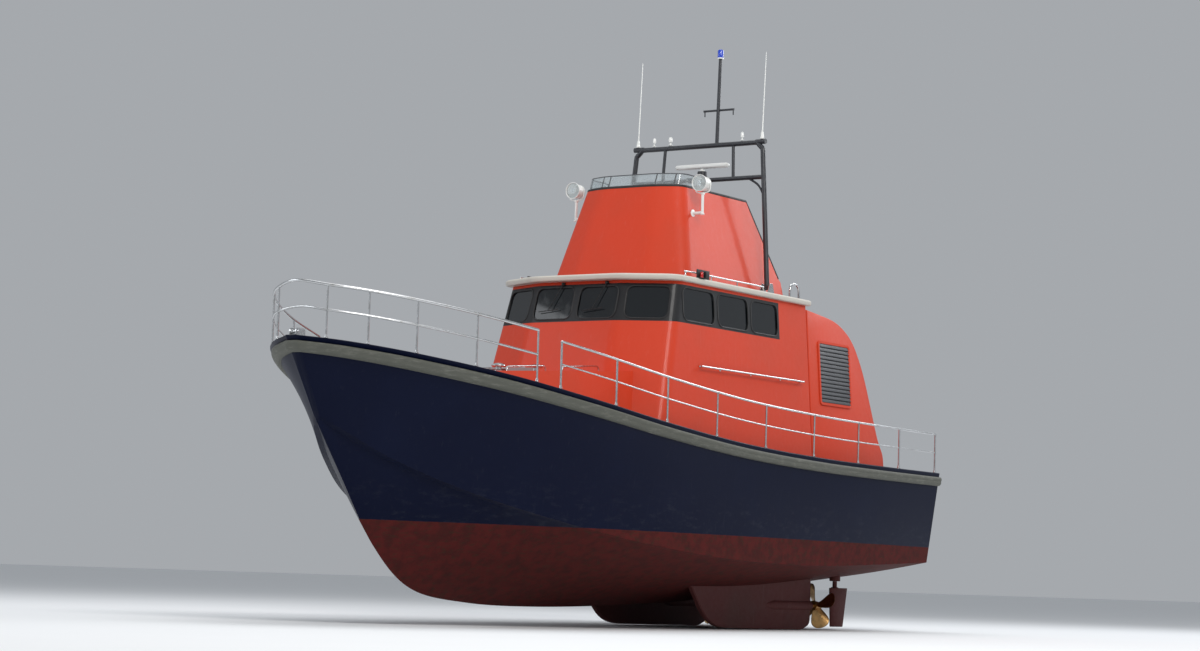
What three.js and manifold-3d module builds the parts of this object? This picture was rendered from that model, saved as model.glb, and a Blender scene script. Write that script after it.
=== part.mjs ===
// All-weather rescue lifeboat: a hard chine hull with twin screws, a glazed wheelhouse,
// an open upper steering position and a folding goalpost mast.
// Millimetres. +X is forward, +Y is to port, +Z is up, and z = 0 is the waterline.
import * as THREE from "three";
import { mergeVertices } from "three/addons/utils/BufferGeometryUtils.js";
import Module from "manifold-3d";

const wasm = await Module();
wasm.setup();

const seat = 0.3; // gap left wherever one piece rests on another or turns in it
const wall = 60; // moulded wall of the wheelhouse
const far = 9000; // longer than the boat in every direction

// Hull lines: one row per master section, from the transom to the stem.
// Each row gives the keel, the chine and the sheer (top of the bulwark) at that section.
const sections = [
  { keelX: -6980, keelZ: -470, chineX: -7030, chineY: 2050, chineZ: -130, sheerX: -7130, sheerY: 2210, sheerZ: 1370, bulwark: 120, flare: 0 },
  { keelX: -4950, keelZ: -660, chineX: -4980, chineY: 2170, chineZ: -210, sheerX: -5000, sheerY: 2335, sheerZ: 1370, bulwark: 120, flare: 0 },
  { keelX: -2800, keelZ: -870, chineX: -2800, chineY: 2220, chineZ: -270, sheerX: -2800, sheerY: 2385, sheerZ: 1395, bulwark: 120, flare: 0 },
  { keelX: -600, keelZ: -970, chineX: -600, chineY: 2190, chineZ: -230, sheerX: -600, sheerY: 2390, sheerZ: 1480, bulwark: 120, flare: 10 },
  { keelX: 1400, keelZ: -1010, chineX: 1400, chineY: 2010, chineZ: -70, sheerX: 1400, sheerY: 2350, sheerZ: 1650, bulwark: 140, flare: 40 },
  { keelX: 3050, keelZ: -970, chineX: 3100, chineY: 1640, chineZ: 190, sheerX: 3150, sheerY: 2180, sheerZ: 1880, bulwark: 180, flare: 90 },
  { keelX: 4350, keelZ: -790, chineX: 4500, chineY: 1130, chineZ: 520, sheerX: 4700, sheerY: 1800, sheerZ: 2110, bulwark: 230, flare: 130 },
  { keelX: 5200, keelZ: -230, chineX: 5550, chineY: 620, chineZ: 900, sheerX: 5950, sheerY: 1230, sheerZ: 2290, bulwark: 270, flare: 120 },
  { keelX: 5900, keelZ: 620, chineX: 6200, chineY: 270, chineZ: 1250, sheerX: 6700, sheerY: 660, sheerZ: 2400, bulwark: 290, flare: 60 },
  { keelX: 6450, keelZ: 1330, chineX: 6480, chineY: 45, chineZ: 1420, sheerX: 7080, sheerY: 90, sheerZ: 2460, bulwark: 6, flare: 0 },
];
const stepsPerSection = 3;
const capWidth = 70; // thickness of the bulwark
const chineFlat = 110; // width of the spray rail's flat underside
const camber = 70; // rise of the deck from its edge to the centreline
const belt = { top: 70, height: 150, depth: 60 }; // rubber fender under the sheer

// Wheelhouse: two outlines, joined by flat walls that lean inwards.
const house = {
  baseZ: 1200, roofZ: 3860, aftX: -3680,
  base: { frontX: 1230, frontY: 880, sideY: 1745 },
  roof: { frontX: 480, frontY: 740, sideY: 1540 },
  facet: 0.46, // how fast the corner facets fall back as they go outboard
};
const windowSill = 3290;
const windowHead = 3765;
const roofTop = 3950;
const door = { edgeY: -1440, width: 600, sillZ: 1620, headZ: 3420, thick: 45, faceX: -3718, pin: 24 };
const doorPin = { x: door.faceX - door.thick / 2, y: door.edgeY - door.pin };

// Upper steering position: a coaming round an open cockpit on the roof.
const coaming = {
  topZ: 5450, aftX: -3450, wall: 50,
  base: { frontX: -300, frontY: 650, sideY: 1250 },
  top: { frontX: -720, frontY: 480, sideY: 900 },
  facet: 0.4,
  slopeFrom: { x: -2800, z: 5450 }, slopeTo: { x: -3450, z: 4250 },
};

// Goalpost mast, which folds aft about the pins at its feet.
const mast = { x: -2700, footZ: 4060, footY: 1380, topY: 1180, topZ: 6400, tube: 40, poleTop: 7950, rake: 90 };
const shaftLine = { y: 985, z: -900, propX: -5200, shaftR: 38 };
const rudderX = -5820;

const finishes = {
  navy: { color: 0x141b33, roughness: 0.35, metalness: 0 },
  orange: { color: 0xd83a14, roughness: 0.4, metalness: 0 },
  grey: { color: 0x8f9496, roughness: 0.8, metalness: 0 },
  cream: { color: 0xd9d4c8, roughness: 0.5, metalness: 0 },
  rubber: { color: 0x55574f, roughness: 0.85, metalness: 0 },
  antifoul: { color: 0x4f1f1e, roughness: 0.8, metalness: 0 },
  steel: { color: 0xc3c7ca, roughness: 0.25, metalness: 1 },
  dark: { color: 0x24252b, roughness: 0.5, metalness: 0.2 },
  bronze: { color: 0x9a7440, roughness: 0.35, metalness: 1 },
  glass: { color: 0x10151a, roughness: 0.05, metalness: 0 },
  white: { color: 0xe6e7e4, roughness: 0.4, metalness: 0 },
  blue: { color: 0x1c4fc4, roughness: 0.2, metalness: 0 },
};
const materials = {};
for (const [name, values] of Object.entries(finishes)) materials[name] = new THREE.MeshStandardMaterial(values);

const boat = new THREE.Group();
const V = (x, y, z) => new THREE.Vector3(x, y, z);

// A closed solid from a three.js geometry, turned the right way out.
function solid(geometry) {
  const bare = geometry.clone();
  bare.deleteAttribute("normal");
  bare.deleteAttribute("uv");
  const merged = mergeVertices(bare, 1e-3);
  const make = (triangles) => new wasm.Manifold(new wasm.Mesh({
    numProp: 3,
    vertProperties: merged.attributes.position.array,
    triVerts: triangles,
  }));
  const forward = new Uint32Array(merged.index.array);
  const made = make(forward);
  return made.volume() > 0 ? made : make(forward.map((v, i) => forward[i + [0, 1, -1][i % 3]]));
}

function place(name, made, finish) {
  const mesh = made.getMesh();
  const geometry = new THREE.BufferGeometry();
  geometry.setAttribute("position", new THREE.BufferAttribute(new Float32Array(mesh.vertProperties), 3));
  geometry.setIndex(new THREE.BufferAttribute(new Uint32Array(mesh.triVerts), 1));
  geometry.computeVertexNormals();
  const node = new THREE.Mesh(geometry, materials[finish]);
  node.name = name;
  boat.add(node);
}

const join = (pieces) => pieces.reduce((sum, piece) => sum.add(piece));

// A body lofted through closed loops of equally many points. Each end is capped by the
// triangles given for it, or by a fan from its centre.
function loft(loops, capFaces = null) {
  const count = loops[0].length;
  const points = loops.flat();
  const faces = [];
  for (let i = 0; i + 1 < loops.length; i++)
    for (let j = 0; j < count; j++) {
      const [a, b] = [i * count + j, i * count + (j + 1) % count];
      faces.push(a, b, a + count, b, b + count, a + count);
    }
  for (const [start, turned] of [[0, true], [(loops.length - 1) * count, false]]) {
    let caps = capFaces;
    if (!caps) {
      const centre = V(0, 0, 0);
      for (const p of points.slice(start, start + count)) centre.addScaledVector(p, 1 / count);
      points.push(centre);
      caps = loops[0].map((_, j) => [j, (j + 1) % count, points.length - 1 - start]);
    }
    for (const [a, b, c] of caps.map((cap) => cap.map((k) => start + k))) faces.push(...(turned ? [c, b, a] : [a, b, c]));
  }
  const geometry = new THREE.BufferGeometry().setFromPoints(points);
  geometry.setIndex(faces);
  return solid(geometry);
}

// A box between two corners.
function block(x0, x1, y0, y1, z0, z1) {
  const box = new THREE.BoxGeometry(x1 - x0, y1 - y0, z1 - z0);
  box.translate((x0 + x1) / 2, (y0 + y1) / 2, (z0 + z1) / 2);
  return solid(box);
}

// A round bar from one point to another, tapered if the radii differ.
function rod(a, b, radius, sides = 8, endRadius = radius) {
  const bar = new THREE.CylinderGeometry(endRadius, radius, a.distanceTo(b), sides);
  bar.applyQuaternion(new THREE.Quaternion().setFromUnitVectors(V(0, 1, 0), b.clone().sub(a).normalize()));
  const middle = a.clone().add(b).divideScalar(2);
  bar.translate(middle.x, middle.y, middle.z);
  return solid(bar);
}

// A tube of constant section along a smooth curve through the points.
function tube(points, radius, steps, sides = 8) {
  const ring = [];
  for (let i = 0; i < sides; i++) {
    const turn = (2 * Math.PI * (i + 0.5)) / sides;
    ring.push(new THREE.Vector2(radius * Math.cos(turn), radius * Math.sin(turn)));
  }
  const path = new THREE.CatmullRomCurve3(points, false, "centripetal");
  return solid(new THREE.ExtrudeGeometry(new THREE.Shape(ring), { steps, extrudePath: path, bevelEnabled: false }));
}

// A flat plate: an outline in the XZ plane, given thickness along Y from y0 to y1.
function sidePlate(outline, y0, y1) {
  const shape = new THREE.Shape(outline.map(([x, z]) => new THREE.Vector2(x, z)));
  const plate = new THREE.ExtrudeGeometry(shape, { depth: y1 - y0, bevelEnabled: false });
  plate.rotateX(Math.PI / 2);
  plate.translate(0, y1, 0);
  return solid(plate);
}

// A disc or ring turned about an upright axis; the profile is [radius, height] pairs.
function turned(profile, x, y, z, sides = 16) {
  const lathe = new THREE.LatheGeometry(profile.map(([r, h]) => new THREE.Vector2(r, h)), sides);
  lathe.rotateX(Math.PI / 2);
  lathe.translate(x, y, z);
  return solid(lathe);
}

// A rounded rectangle, centred, extruded both ways along its normal.
function windowCutter(width, height, radius, depth) {
  const [w, h, r] = [width / 2, height / 2, radius];
  const shape = new THREE.Shape();
  shape.moveTo(-w + r, -h);
  shape.lineTo(w - r, -h);
  shape.quadraticCurveTo(w, -h, w, -h + r);
  shape.lineTo(w, h - r);
  shape.quadraticCurveTo(w, h, w - r, h);
  shape.lineTo(-w + r, h);
  shape.quadraticCurveTo(-w, h, -w, h - r);
  shape.lineTo(-w, -h + r);
  shape.quadraticCurveTo(-w, -h, -w + r, -h);
  const cutter = new THREE.ExtrudeGeometry(shape, { depth, bevelEnabled: false, curveSegments: 3 });
  cutter.translate(0, 0, -depth / 2);
  cutter.rotateX(Math.PI / 2);
  return cutter; // the width runs along X, the depth along Y and the height along Z
}

function cutWindow(width, height, x, y, z, heading) {
  const cutter = windowCutter(width, height, 70, 700);
  cutter.rotateZ(heading);
  cutter.translate(x, y, z);
  return solid(cutter);
}

// Smooth value of one column of the section table at u, from 0 at the transom to 1 at the stem.
function line(column, u) {
  const at = u * (sections.length - 1);
  const i = Math.min(Math.floor(at), sections.length - 2);
  const t = at - i;
  const value = (k) => sections[Math.max(0, Math.min(sections.length - 1, k))][column];
  const [a, b, c, d] = [value(i - 1), value(i), value(i + 1), value(i + 2)];
  return b + 0.5 * t * (c - a + t * (2 * a - 5 * b + 4 * c - d + t * (3 * (b - c) + d - a)));
}

// A point of the topside: v is 0 on the chine and 1 on the sheer. Flare hollows it between.
function topside(u, v) {
  const mix = (from, to) => from + (to - from) * v;
  return V(
    mix(line("chineX", u), line("sheerX", u)),
    Math.max(40, mix(line("chineY", u), line("sheerY", u)) - line("flare", u) * 4 * v * (1 - v)),
    mix(line("chineZ", u), line("sheerZ", u)),
  );
}

const beltTopAt = (u) => 1 - belt.top / (line("sheerZ", u) - line("chineZ", u));
const beltFootAt = (u) => 1 - (belt.top + belt.height) / (line("sheerZ", u) - line("chineZ", u));

// One section of the hull, port half from the deck's centre round to the keel, then starboard.
function hullLoop(u) {
  const sheer = topside(u, 1);
  const atDeck = topside(u, 1 - line("bulwark", u) / (line("sheerZ", u) - line("chineZ", u)));
  const edge = Math.max(20, atDeck.y - capWidth);
  const rise = camber * Math.min(1, edge / 900);
  const keel = V(line("keelX", u), 0, line("keelZ", u));
  const chine = topside(u, 0);
  const flat = Math.min(chineFlat, chine.y * 0.45);
  const port = [
    V(atDeck.x, edge * 0.5, atDeck.z + rise * 0.75),
    V(atDeck.x, edge, atDeck.z),
    V(sheer.x, Math.max(20, sheer.y - capWidth), sheer.z),
    sheer,
    topside(u, beltTopAt(u)),
    topside(u, beltFootAt(u)),
    topside(u, 0.55),
    topside(u, 0.25),
    chine,
    V(chine.x, chine.y - flat, chine.z - flat * 0.2),
    V((chine.x + keel.x) / 2, (chine.y - flat) * 0.5, (chine.z + keel.z) / 2 - 20),
  ];
  const starboard = port.map((p) => V(p.x, -p.y, p.z)).reverse();
  return [V(atDeck.x, 0, atDeck.z + rise), ...port, keel, ...starboard];
}

const stations = [];
for (let i = 0; i <= (sections.length - 1) * stepsPerSection; i++)
  stations.push(i / ((sections.length - 1) * stepsPerSection));

// The engine well and the fore locker are cut down into the hull and the coachroof.
const well = { x0: -5480, x1: -4480, y: 640, floorZ: -180 };

// The flat ends of the hull: the bulwarks' own corners, then strips across from side to side.
const across = [0, 1, 2, 6, 7, 8, 9, 10, 11, 12];
const opposite = (k) => (24 - k) % 24;
const hullCaps = [[2, 3, 4], [2, 4, 5], [2, 5, 6]];
hullCaps.push(...hullCaps.map((cap) => cap.map(opposite).reverse()));
for (let i = 0; i + 1 < across.length; i++) {
  const [p, q] = [across[i], across[i + 1]];
  if (q !== opposite(q)) hullCaps.push([p, q, opposite(q)]);
  if (p !== opposite(p)) hullCaps.push([p, opposite(q), opposite(p)]);
}
const rawHull = loft(stations.map(hullLoop), hullCaps);

// Bilge keel: a deep fin under each shaft, whose after end carries the shaft's bearing.
function bilgeKeel(sign) {
  const y = sign * shaftLine.y;
  const fin = sidePlate([[-1150, -480], [-1700, -1120], [-2100, -1270], [-4700, -1290], [-4960, -1200],
    [-4960, -300], [-1150, -300]], y - 45, y + 45);
  const stockBearing = rod(V(rudderX, y, -200), V(rudderX, y, -490), 90, 12);
  return join([fin, rod(V(-3400, y, shaftLine.z), V(-4975, y, shaftLine.z), 85, 10), stockBearing]);
}
const hull = join([rawHull, bilgeKeel(1), bilgeKeel(-1)])
  .subtract(block(well.x0, well.x1, -well.y, well.y, well.floorZ, 2000));
const deckMask = rawHull.translate([0, 0, seat]);
const onDeck = (piece) => piece.subtract(deckMask);
const hullGap = join([[0.5, 0.5], [0.5, -0.5], [-0.5, 0.5], [-0.5, -0.5]].map(([x, y]) => rawHull.translate([x, y, 0])));
place("hull", hull, "navy");

// Rubber belting: a D section that follows the sheer round the bow, just clear of the hull.
function beltLoop(u, side) {
  const [top, foot] = [topside(u, beltTopAt(u)), topside(u, beltFootAt(u))];
  const ahead = topside(Math.min(1, u + 0.01), beltTopAt(Math.min(1, u + 0.01)));
  const behind = topside(Math.max(0, u - 0.01), beltTopAt(Math.max(0, u - 0.01)));
  const along = ahead.clone().sub(behind);
  const out = u === 1 ? V(0.92, 0.39, 0) : V(-along.y, along.x, 0).normalize();
  if (out.y < 0) out.negate();
  const root = out.clone().multiplyScalar(-20);
  const reach = out.clone().multiplyScalar(belt.depth);
  const loop = [
    top.clone().add(root),
    top.clone().add(reach.clone().multiplyScalar(0.7)).add(V(0, 0, -10)),
    top.clone().lerp(foot, 0.35).add(reach),
    top.clone().lerp(foot, 0.65).add(reach),
    foot.clone().add(reach.clone().multiplyScalar(0.7)).add(V(0, 0, 10)),
    foot.clone().add(root),
  ];
  return loop.map((p) => V(p.x, side * p.y, p.z));
}
place("belting", loft([
  ...stations.map((u) => beltLoop(u, 1)),
  ...stations.slice().reverse().map((u) => beltLoop(u, -1)),
]).subtract(hullGap), "rubber");

const sides = [["port", 1], ["starboard", -1]];

// Four bladed propeller with its hub and the stub of shaft that carries it, on the port side.
function propeller() {
  const centre = V(shaftLine.propX, shaftLine.y, shaftLine.z);
  const hub = rod(centre.clone().add(V(-140, 0, 0)), centre.clone().add(V(110, 0, 0)), 55, 12, 82);
  const shaft = rod(centre.clone().add(V(60, 0, 0)), V(-4975 - seat, centre.y, centre.z), shaftLine.shaftR, 10);
  const blade = [];
  const bladeShape = [ // radius, half chord, pitch angle, thickness
    { r: 40, chord: 70, pitch: 1.05, thick: 26 },
    { r: 150, chord: 120, pitch: 0.8, thick: 18 },
    { r: 260, chord: 150, pitch: 0.62, thick: 12 },
    { r: 340, chord: 110, pitch: 0.52, thick: 8 },
    { r: 374, chord: 34, pitch: 0.48, thick: 5 },
  ];
  for (const { r, chord, pitch, thick } of bladeShape) {
    const [c, s] = [Math.cos(pitch), Math.sin(pitch)];
    const corners = [[-1, 0], [-0.4, 1], [0.4, 1], [1, 0], [0.4, -1], [-0.4, -1]];
    blade.push(corners.map(([a, b]) => V(a * chord * s + b * thick * c, a * chord * c - b * thick * s, r)));
  }
  const parts = [hub, shaft];
  for (let k = 0; k < 4; k++)
    parts.push(loft(blade).rotate([k * 90 + 20, 0, 0]).translate([centre.x, centre.y, centre.z]));
  return join(parts);
}

// Spade rudder on a stock that goes up through the hull's bottom.
function rudder(sign) {
  const foil = (z, fore, aft, thick) => [[fore, 0], [fore - 90, thick], [aft + 60, thick * 0.5], [aft, 0],
    [aft + 60, -thick * 0.5], [fore - 90, -thick]].map(([x, y]) => V(rudderX + x, sign * shaftLine.y + y, z));
  const blade = loft([foil(-1240, 130, -300, 34), foil(-600, 170, -430, 44)]);
  const stock = rod(V(rudderX, sign * shaftLine.y, -640), V(rudderX, sign * shaftLine.y, -490 - seat), 38, 10);
  return blade.add(stock);
}
for (const [side, sign] of sides) {
  place("propeller_" + side, sign > 0 ? propeller() : propeller().mirror([0, 1, 0]), "bronze");
  place("rudder_" + side, rudder(sign), "antifoul");
}

// An outline of the wheelhouse or the coaming: straight across the front, a facet at each
// corner, straight sides and a straight after end.
function outline({ frontX, frontY, sideY }, aftX, facet, z, inset = 0) {
  const lean = Math.hypot(1, facet);
  const fx = frontX - inset;
  const sy = sideY - inset;
  const fy = frontY + inset / facet - (inset * lean) / facet;
  const cornerX = frontX - facet * (sy - frontY) - inset * lean;
  const port = [V(fx, fy, z), V(cornerX, sy, z), V(aftX + inset, sy, z)];
  return [...port, ...port.map((p) => V(p.x, -p.y, p.z)).reverse()];
}

// The wheelhouse's outlines at any height, by running its flat walls up or down.
function houseOutline(z, inset = 0) {
  const t = (z - house.baseZ) / (house.roofZ - house.baseZ);
  const mix = (a, b) => a + (b - a) * t;
  const at = {
    frontX: mix(house.base.frontX, house.roof.frontX),
    frontY: mix(house.base.frontY, house.roof.frontY),
    sideY: mix(house.base.sideY, house.roof.sideY),
  };
  return outline(at, house.aftX, house.facet, z, inset);
}

const houseShell = loft([houseOutline(house.baseZ), houseOutline(house.roofZ)])
  .subtract(loft([houseOutline(house.baseZ - 10, wall), houseOutline(house.roofZ + 10, wall)]));
const windowMid = (windowSill + windowHead) / 2;
const windowHigh = windowHead - windowSill;
const [, cornerMid] = houseOutline(windowMid);
const frontMid = houseOutline(windowMid)[0];
const facetHeading = Math.PI / 2 + Math.atan(house.facet);
const openings = [];
for (const [, sign] of sides) {
  openings.push(cutWindow(670, windowHigh, frontMid.x, sign * 395, windowMid, Math.PI / 2));
  openings.push(cutWindow(640, windowHigh, (frontMid.x + cornerMid.x) / 2, (sign * (frontMid.y + cornerMid.y)) / 2,
    windowMid, sign * facetHeading));
  for (const [x, width] of [[-400, 860], [-1390, 860], [-2330, 780]])
    openings.push(cutWindow(width, windowHigh, x, sign * cornerMid.y, windowMid, 0));
}
openings.push(cutWindow(620, windowHigh, house.aftX, 300, windowMid, Math.PI / 2));
const doorway = block(-3900, -3500, door.edgeY + 30, door.edgeY + door.width - 30, door.sillZ + 30, door.headZ - 30);
const doorRim = block(-3712, house.aftX + 5, door.edgeY - 45, door.edgeY + door.width + 15, door.sillZ - 15, door.headZ + 15);

// Barrels along a hinge pin that runs up in z; an arm joins each to the piece that carries it.
function barrels(pin, heights, armX, armY) {
  return join(heights.map((z) => rod(V(pin.x, pin.y, z - 55), V(pin.x, pin.y, z + 55), 17, 10)
    .add(block(Math.min(pin.x - 8, pin.x + armX), Math.max(pin.x + 8, pin.x + armX),
      Math.min(pin.y - 8, pin.y + armY), Math.max(pin.y + 8, pin.y + armY), z - 55, z + 55))));
}
const openHouse = onDeck(join([houseShell, doorRim, barrels(doorPin, [1790, 2410, 3030], 35, 0)])
  .subtract(join(openings)).subtract(doorway));

// The shell is split at its corners into the four panels that it is made of.
const splitFront = -60;
const splitAft = -3560;
place("wheelhouse_front", openHouse.intersect(block(splitFront + seat, far, -far, far, 0, far)), "orange");
place("wheelhouse_aft", openHouse.intersect(block(-far, splitAft - seat, -far, far, 0, far)), "orange");
for (const [side, sign] of sides)
  place("wheelhouse_" + side, openHouse.intersect(
    block(splitAft, splitFront, sign > 0 ? 0 : -far, sign > 0 ? far : 0, 0, far)), "orange");

// Glazing: one tinted strip bonded to the inner face of the walls, behind the openings.
const pane = 12;
const strip = (inset, over) => loft([houseOutline(windowSill - over, inset), houseOutline(windowHead + over, inset)]);
place("glazing", strip(wall + 0.5, 45).subtract(strip(wall + pane, 60)).subtract(block(-far, -3400, -far, 60, 0, far)), "glass");

// Aft door: a panel with a port, hung on its outboard edge just clear of the bulkhead.
const leaf = block(door.faceX - door.thick, door.faceX, door.edgeY, door.edgeY + door.width, door.sillZ, door.headZ)
  .subtract(cutWindow(340, 420, door.faceX, door.edgeY + 300, 3080, Math.PI / 2));
const grip = { x: door.faceX - 110, y: door.edgeY + 520 };
place("door", join([
  leaf,
  barrels(doorPin, [1790, 2410, 3030].map((z) => z + 110 + seat), 0, 40),
  rod(V(grip.x, grip.y, 2350), V(grip.x, grip.y, 2600), 14),
  ...[2370, 2580].map((z) => rod(V(grip.x, grip.y, z), V(door.faceX - 20, grip.y, z), 12)),
]), "orange");

// Roof of the wheelhouse, with a visor over the front windows. It is the upper cockpit's floor.
const roofOutline = (z, grow) => outline({
  frontX: house.roof.frontX + 150 + grow, frontY: house.roof.frontY + 20, sideY: house.roof.sideY + 55 + grow,
}, house.aftX - 100 - grow, house.facet, z);
place("roof", loft([roofOutline(house.roofZ + seat, 0), roofOutline(3925, 10), roofOutline(roofTop, -20)]), "cream");

// Coaming of the upper steering position, sloped down at its after end and open behind.
const coamingLoft = (inset, dz, aftX) => loft([
  outline(coaming.base, aftX, coaming.facet, roofTop + seat - dz, inset),
  outline(coaming.top, aftX, coaming.facet, coaming.topZ + dz, inset),
]);
const slope = sidePlate([[coaming.slopeFrom.x, coaming.slopeFrom.z], [coaming.slopeTo.x, coaming.slopeTo.z],
  [-far, coaming.slopeTo.z - 10], [-far, far], [coaming.slopeFrom.x, far]], -far, far);
place("coaming", coamingLoft(0, 0, coaming.aftX)
  .subtract(coamingLoft(coaming.wall, 0.001, coaming.aftX - 400))
  .subtract(slope), "orange");

// Low clear screen on the coaming's front edge.
const screenOutline = (z, lift, inset) => outline(
  { frontX: coaming.top.frontX - 12 - lift, frontY: coaming.top.frontY - 5, sideY: coaming.top.sideY - 15 },
  -1550, coaming.facet, z, inset);
place("windscreen", loft([screenOutline(coaming.topZ + seat, 0, 0), screenOutline(coaming.topZ + 210, 70, 0)])
  .subtract(loft([screenOutline(coaming.topZ, 0, 22), screenOutline(coaming.topZ + 211, 70, 22)]))
  .subtract(block(-far, -1500, -far, far, 5000, far)), "glass");

// A steering wheel on its boss, facing aft and tilted back.
function wheelAt(centre, radius, tilt, reach) {
  const parts = [solid(new THREE.TorusGeometry(radius, 14, 6, 18)), rod(V(0, 0, -reach), V(0, 0, 20), 22)];
  for (let k = 0; k < 3; k++) {
    const turn = (k * 2 * Math.PI) / 3;
    parts.push(rod(V(0, 0, 0), V(radius * Math.cos(turn), radius * Math.sin(turn), 0), 10, 6));
  }
  return join(parts).rotate([0, tilt, 0]).translate([centre.x, centre.y, centre.z]);
}

// Crew seat on a pedestal: cushion, raked back and head rest.
function seatAt(x, y, floorZ, high) {
  const cushion = sidePlate([[x - 230, floorZ + high], [x - 230, floorZ + high + 90], [x + 210, floorZ + high + 110],
    [x + 230, floorZ + high + 20]], y - 230, y + 230);
  const back = sidePlate([[x - 310, floorZ + high + 20], [x - 380, floorZ + high + 640], [x - 300, floorZ + high + 650],
    [x - 210, floorZ + high + 60]], y - 225, y + 225);
  return join([cushion, back, rod(V(x - 40, y, floorZ + seat), V(x - 40, y, floorZ + high + 20), 55, 10),
    turned([[0, 0], [150, 0], [150, 18], [0, 18]], x - 40, y, floorZ + seat, 12)]);
}

// Upper helm: its console stands on the raised sole of the cockpit.
const soleZ = 4350;
place("upper_console", join([
  sidePlate([[-900, roofTop + seat], [-900, soleZ + 930], [-1040, soleZ + 980], [-1280, soleZ + 770], [-1280, soleZ + 610],
    [-1180, soleZ], [-2830, soleZ], [-2830, roofTop + seat]], -700, 700),
  wheelAt(V(-1348, 330, soleZ + 750), 170, -62, 100),
]), "dark");
for (const [side, sign] of sides) place("upper_seat_" + side, seatAt(-1740, sign * 420, soleZ, 380), "dark");

// Wheelhouse interior, seen through the windows: a raised helm platform with its console.
const platformZ = 2100;
place("helm_platform", onDeck(join([
  sidePlate([[440, 1200], [440, 2900], [300, 2960], [20, 2760], [20, 2500], [150, 2400], [150, platformZ],
    [-1200, platformZ], [-1200, 1200]], -1020, 1020),
  wheelAt(V(-55, 620, 2740), 190, -60, 90),
])), "dark");
for (const [side, sign] of sides) place("seat_" + side, seatAt(-640, sign * 620, platformZ, 520), "dark");

// Coachroof over the fore cabin, with a locker under the hatch in its top.
const hatchFore = { x: 2350, y: 0, w: 620 };
const coachLoop = (x, halfTop, halfBase, top) => [V(x, halfTop, top), V(x, halfBase, 1200), V(x, -halfBase, 1200), V(x, -halfTop, top)];
const coachTop = (x) => 2270 + ((3450 - x) * 210) / 2850;
const foreHinge = { x: hatchFore.x + 340, z: coachTop(hatchFore.x + 340) + 40 };

// Barrels along a hinge pin that runs across the boat; an arm joins each to its own side.
function crossBarrels(pin, centres, armX, armZ) {
  return join(centres.map((y) => rod(V(pin.x, y - 45, pin.z), V(pin.x, y + 45, pin.z), 16, 10)
    .add(block(Math.min(pin.x - 8, pin.x + armX), Math.max(pin.x + 8, pin.x + armX), y - 45, y + 45,
      Math.min(pin.z - 8, pin.z + armZ), Math.max(pin.z + 8, pin.z + armZ)))));
}
const coachroof = loft([coachLoop(3760, 560, 800, 2000), coachLoop(3450, 640, 900, 2270),
  coachLoop(600, 1180, 1420, 2480)])
  .subtract(loft([houseOutline(1100, -1), houseOutline(3400, -1)]))
  .subtract(block(hatchFore.x - 260, hatchFore.x + 260, -260, 260, 1850, 3000))
  .add(crossBarrels(foreHinge, [-160, 160], 0, -60));
place("coachroof", onDeck(coachroof), "orange");
const foreLid = block(-310, 310, -310, 310, 6, 56).rotate([0, 4.21, 0])
  .translate([hatchFore.x, 0, coachTop(hatchFore.x)]);
place("fore_hatch", foreLid.add(crossBarrels(foreHinge, [-250 - seat, -70 + seat, 70 - seat, 250 + seat], -50, 0)), "grey");

// Engine casing on the after deck, hollow over the engine well, with a lid.
const casing = { x0: -5600, x1: -4360, y: 760, top: 1980 };
const casingShell = block(casing.x0, casing.x1, -casing.y, casing.y, 1100, casing.top)
  .subtract(block(casing.x0 + wall, casing.x1 - wall, -casing.y + wall, casing.y - wall, 1000, casing.top - wall))
  .subtract(block(-5350, -4610, -420, 420, 1500, far))
  .add(crossBarrels({ x: -5430, z: casing.top + 34 }, [-230, 230], 0, -60));
place("engine_casing", onDeck(casingShell), "orange");
const engineHinge = { x: -5430, z: casing.top + 34 };
place("engine_hatch", block(-5400, -4560, -470, 470, casing.top + 6, casing.top + 56)
  .add(crossBarrels(engineHinge, [-320 - seat, 320 + seat], 50, 0)), "grey");
for (const [side, sign] of sides) {
  const y = sign * 325;
  place("engine_" + side, block(-5400, -4560, y - 285, y + 285, well.floorZ + seat, 720), "dark");
}

// Side wings: panels that run aft from the wheelhouse's corners and shelter the door.
for (const [side, sign] of sides) {
  const slab = loft([houseOutline(house.baseZ), houseOutline(house.roofZ)].map((loop) => {
    const y = loop[1].y;
    const x = house.aftX - 2 * seat;
    return [V(x, y, loop[0].z), V(-far, y, loop[0].z), V(-far, y - 50, loop[0].z), V(x, y - 50, loop[0].z)];
  }));
  const wing = slab.intersect(sidePlate([[-6050, 1000], [-3600, 1000], [-3600, 3800], [-4650, 3700], [-5150, 3450],
    [-5480, 2950], [-5900, 1800], [-6050, 1600]], -far, far));
  const mirrored = sign > 0 ? wing : wing.mirror([0, 1, 0]);
  place("wing_" + side, onDeck(mirrored), "orange");
}

// Mast: everything here turns with it.
const legFoot = (sign) => V(mast.x, sign * mast.footY, mast.footZ);
const legTop = (sign) => V(mast.x - mast.rake, sign * mast.topY, mast.topZ);
const along = (sign, z) => legFoot(sign).lerp(legTop(sign), (z - mast.footZ) / (mast.topZ - mast.footZ));
const lowBarZ = mast.topZ - 570;
const radarX = mast.x - 200;
const mastParts = [
  rod(legTop(1).add(V(0, 60, 0)), legTop(-1).add(V(0, -60, 0)), 42),
  rod(along(1, lowBarZ), along(-1, lowBarZ), 36),
  rod(V(mast.x - mast.rake, 330, mast.topZ), V(mast.x - 130, 330, mast.poleTop - 150), 30),
  rod(V(mast.x - 120, 50, mast.topZ + 560), V(mast.x - 120, 620, mast.topZ + 560), 18, 6),
];
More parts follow.
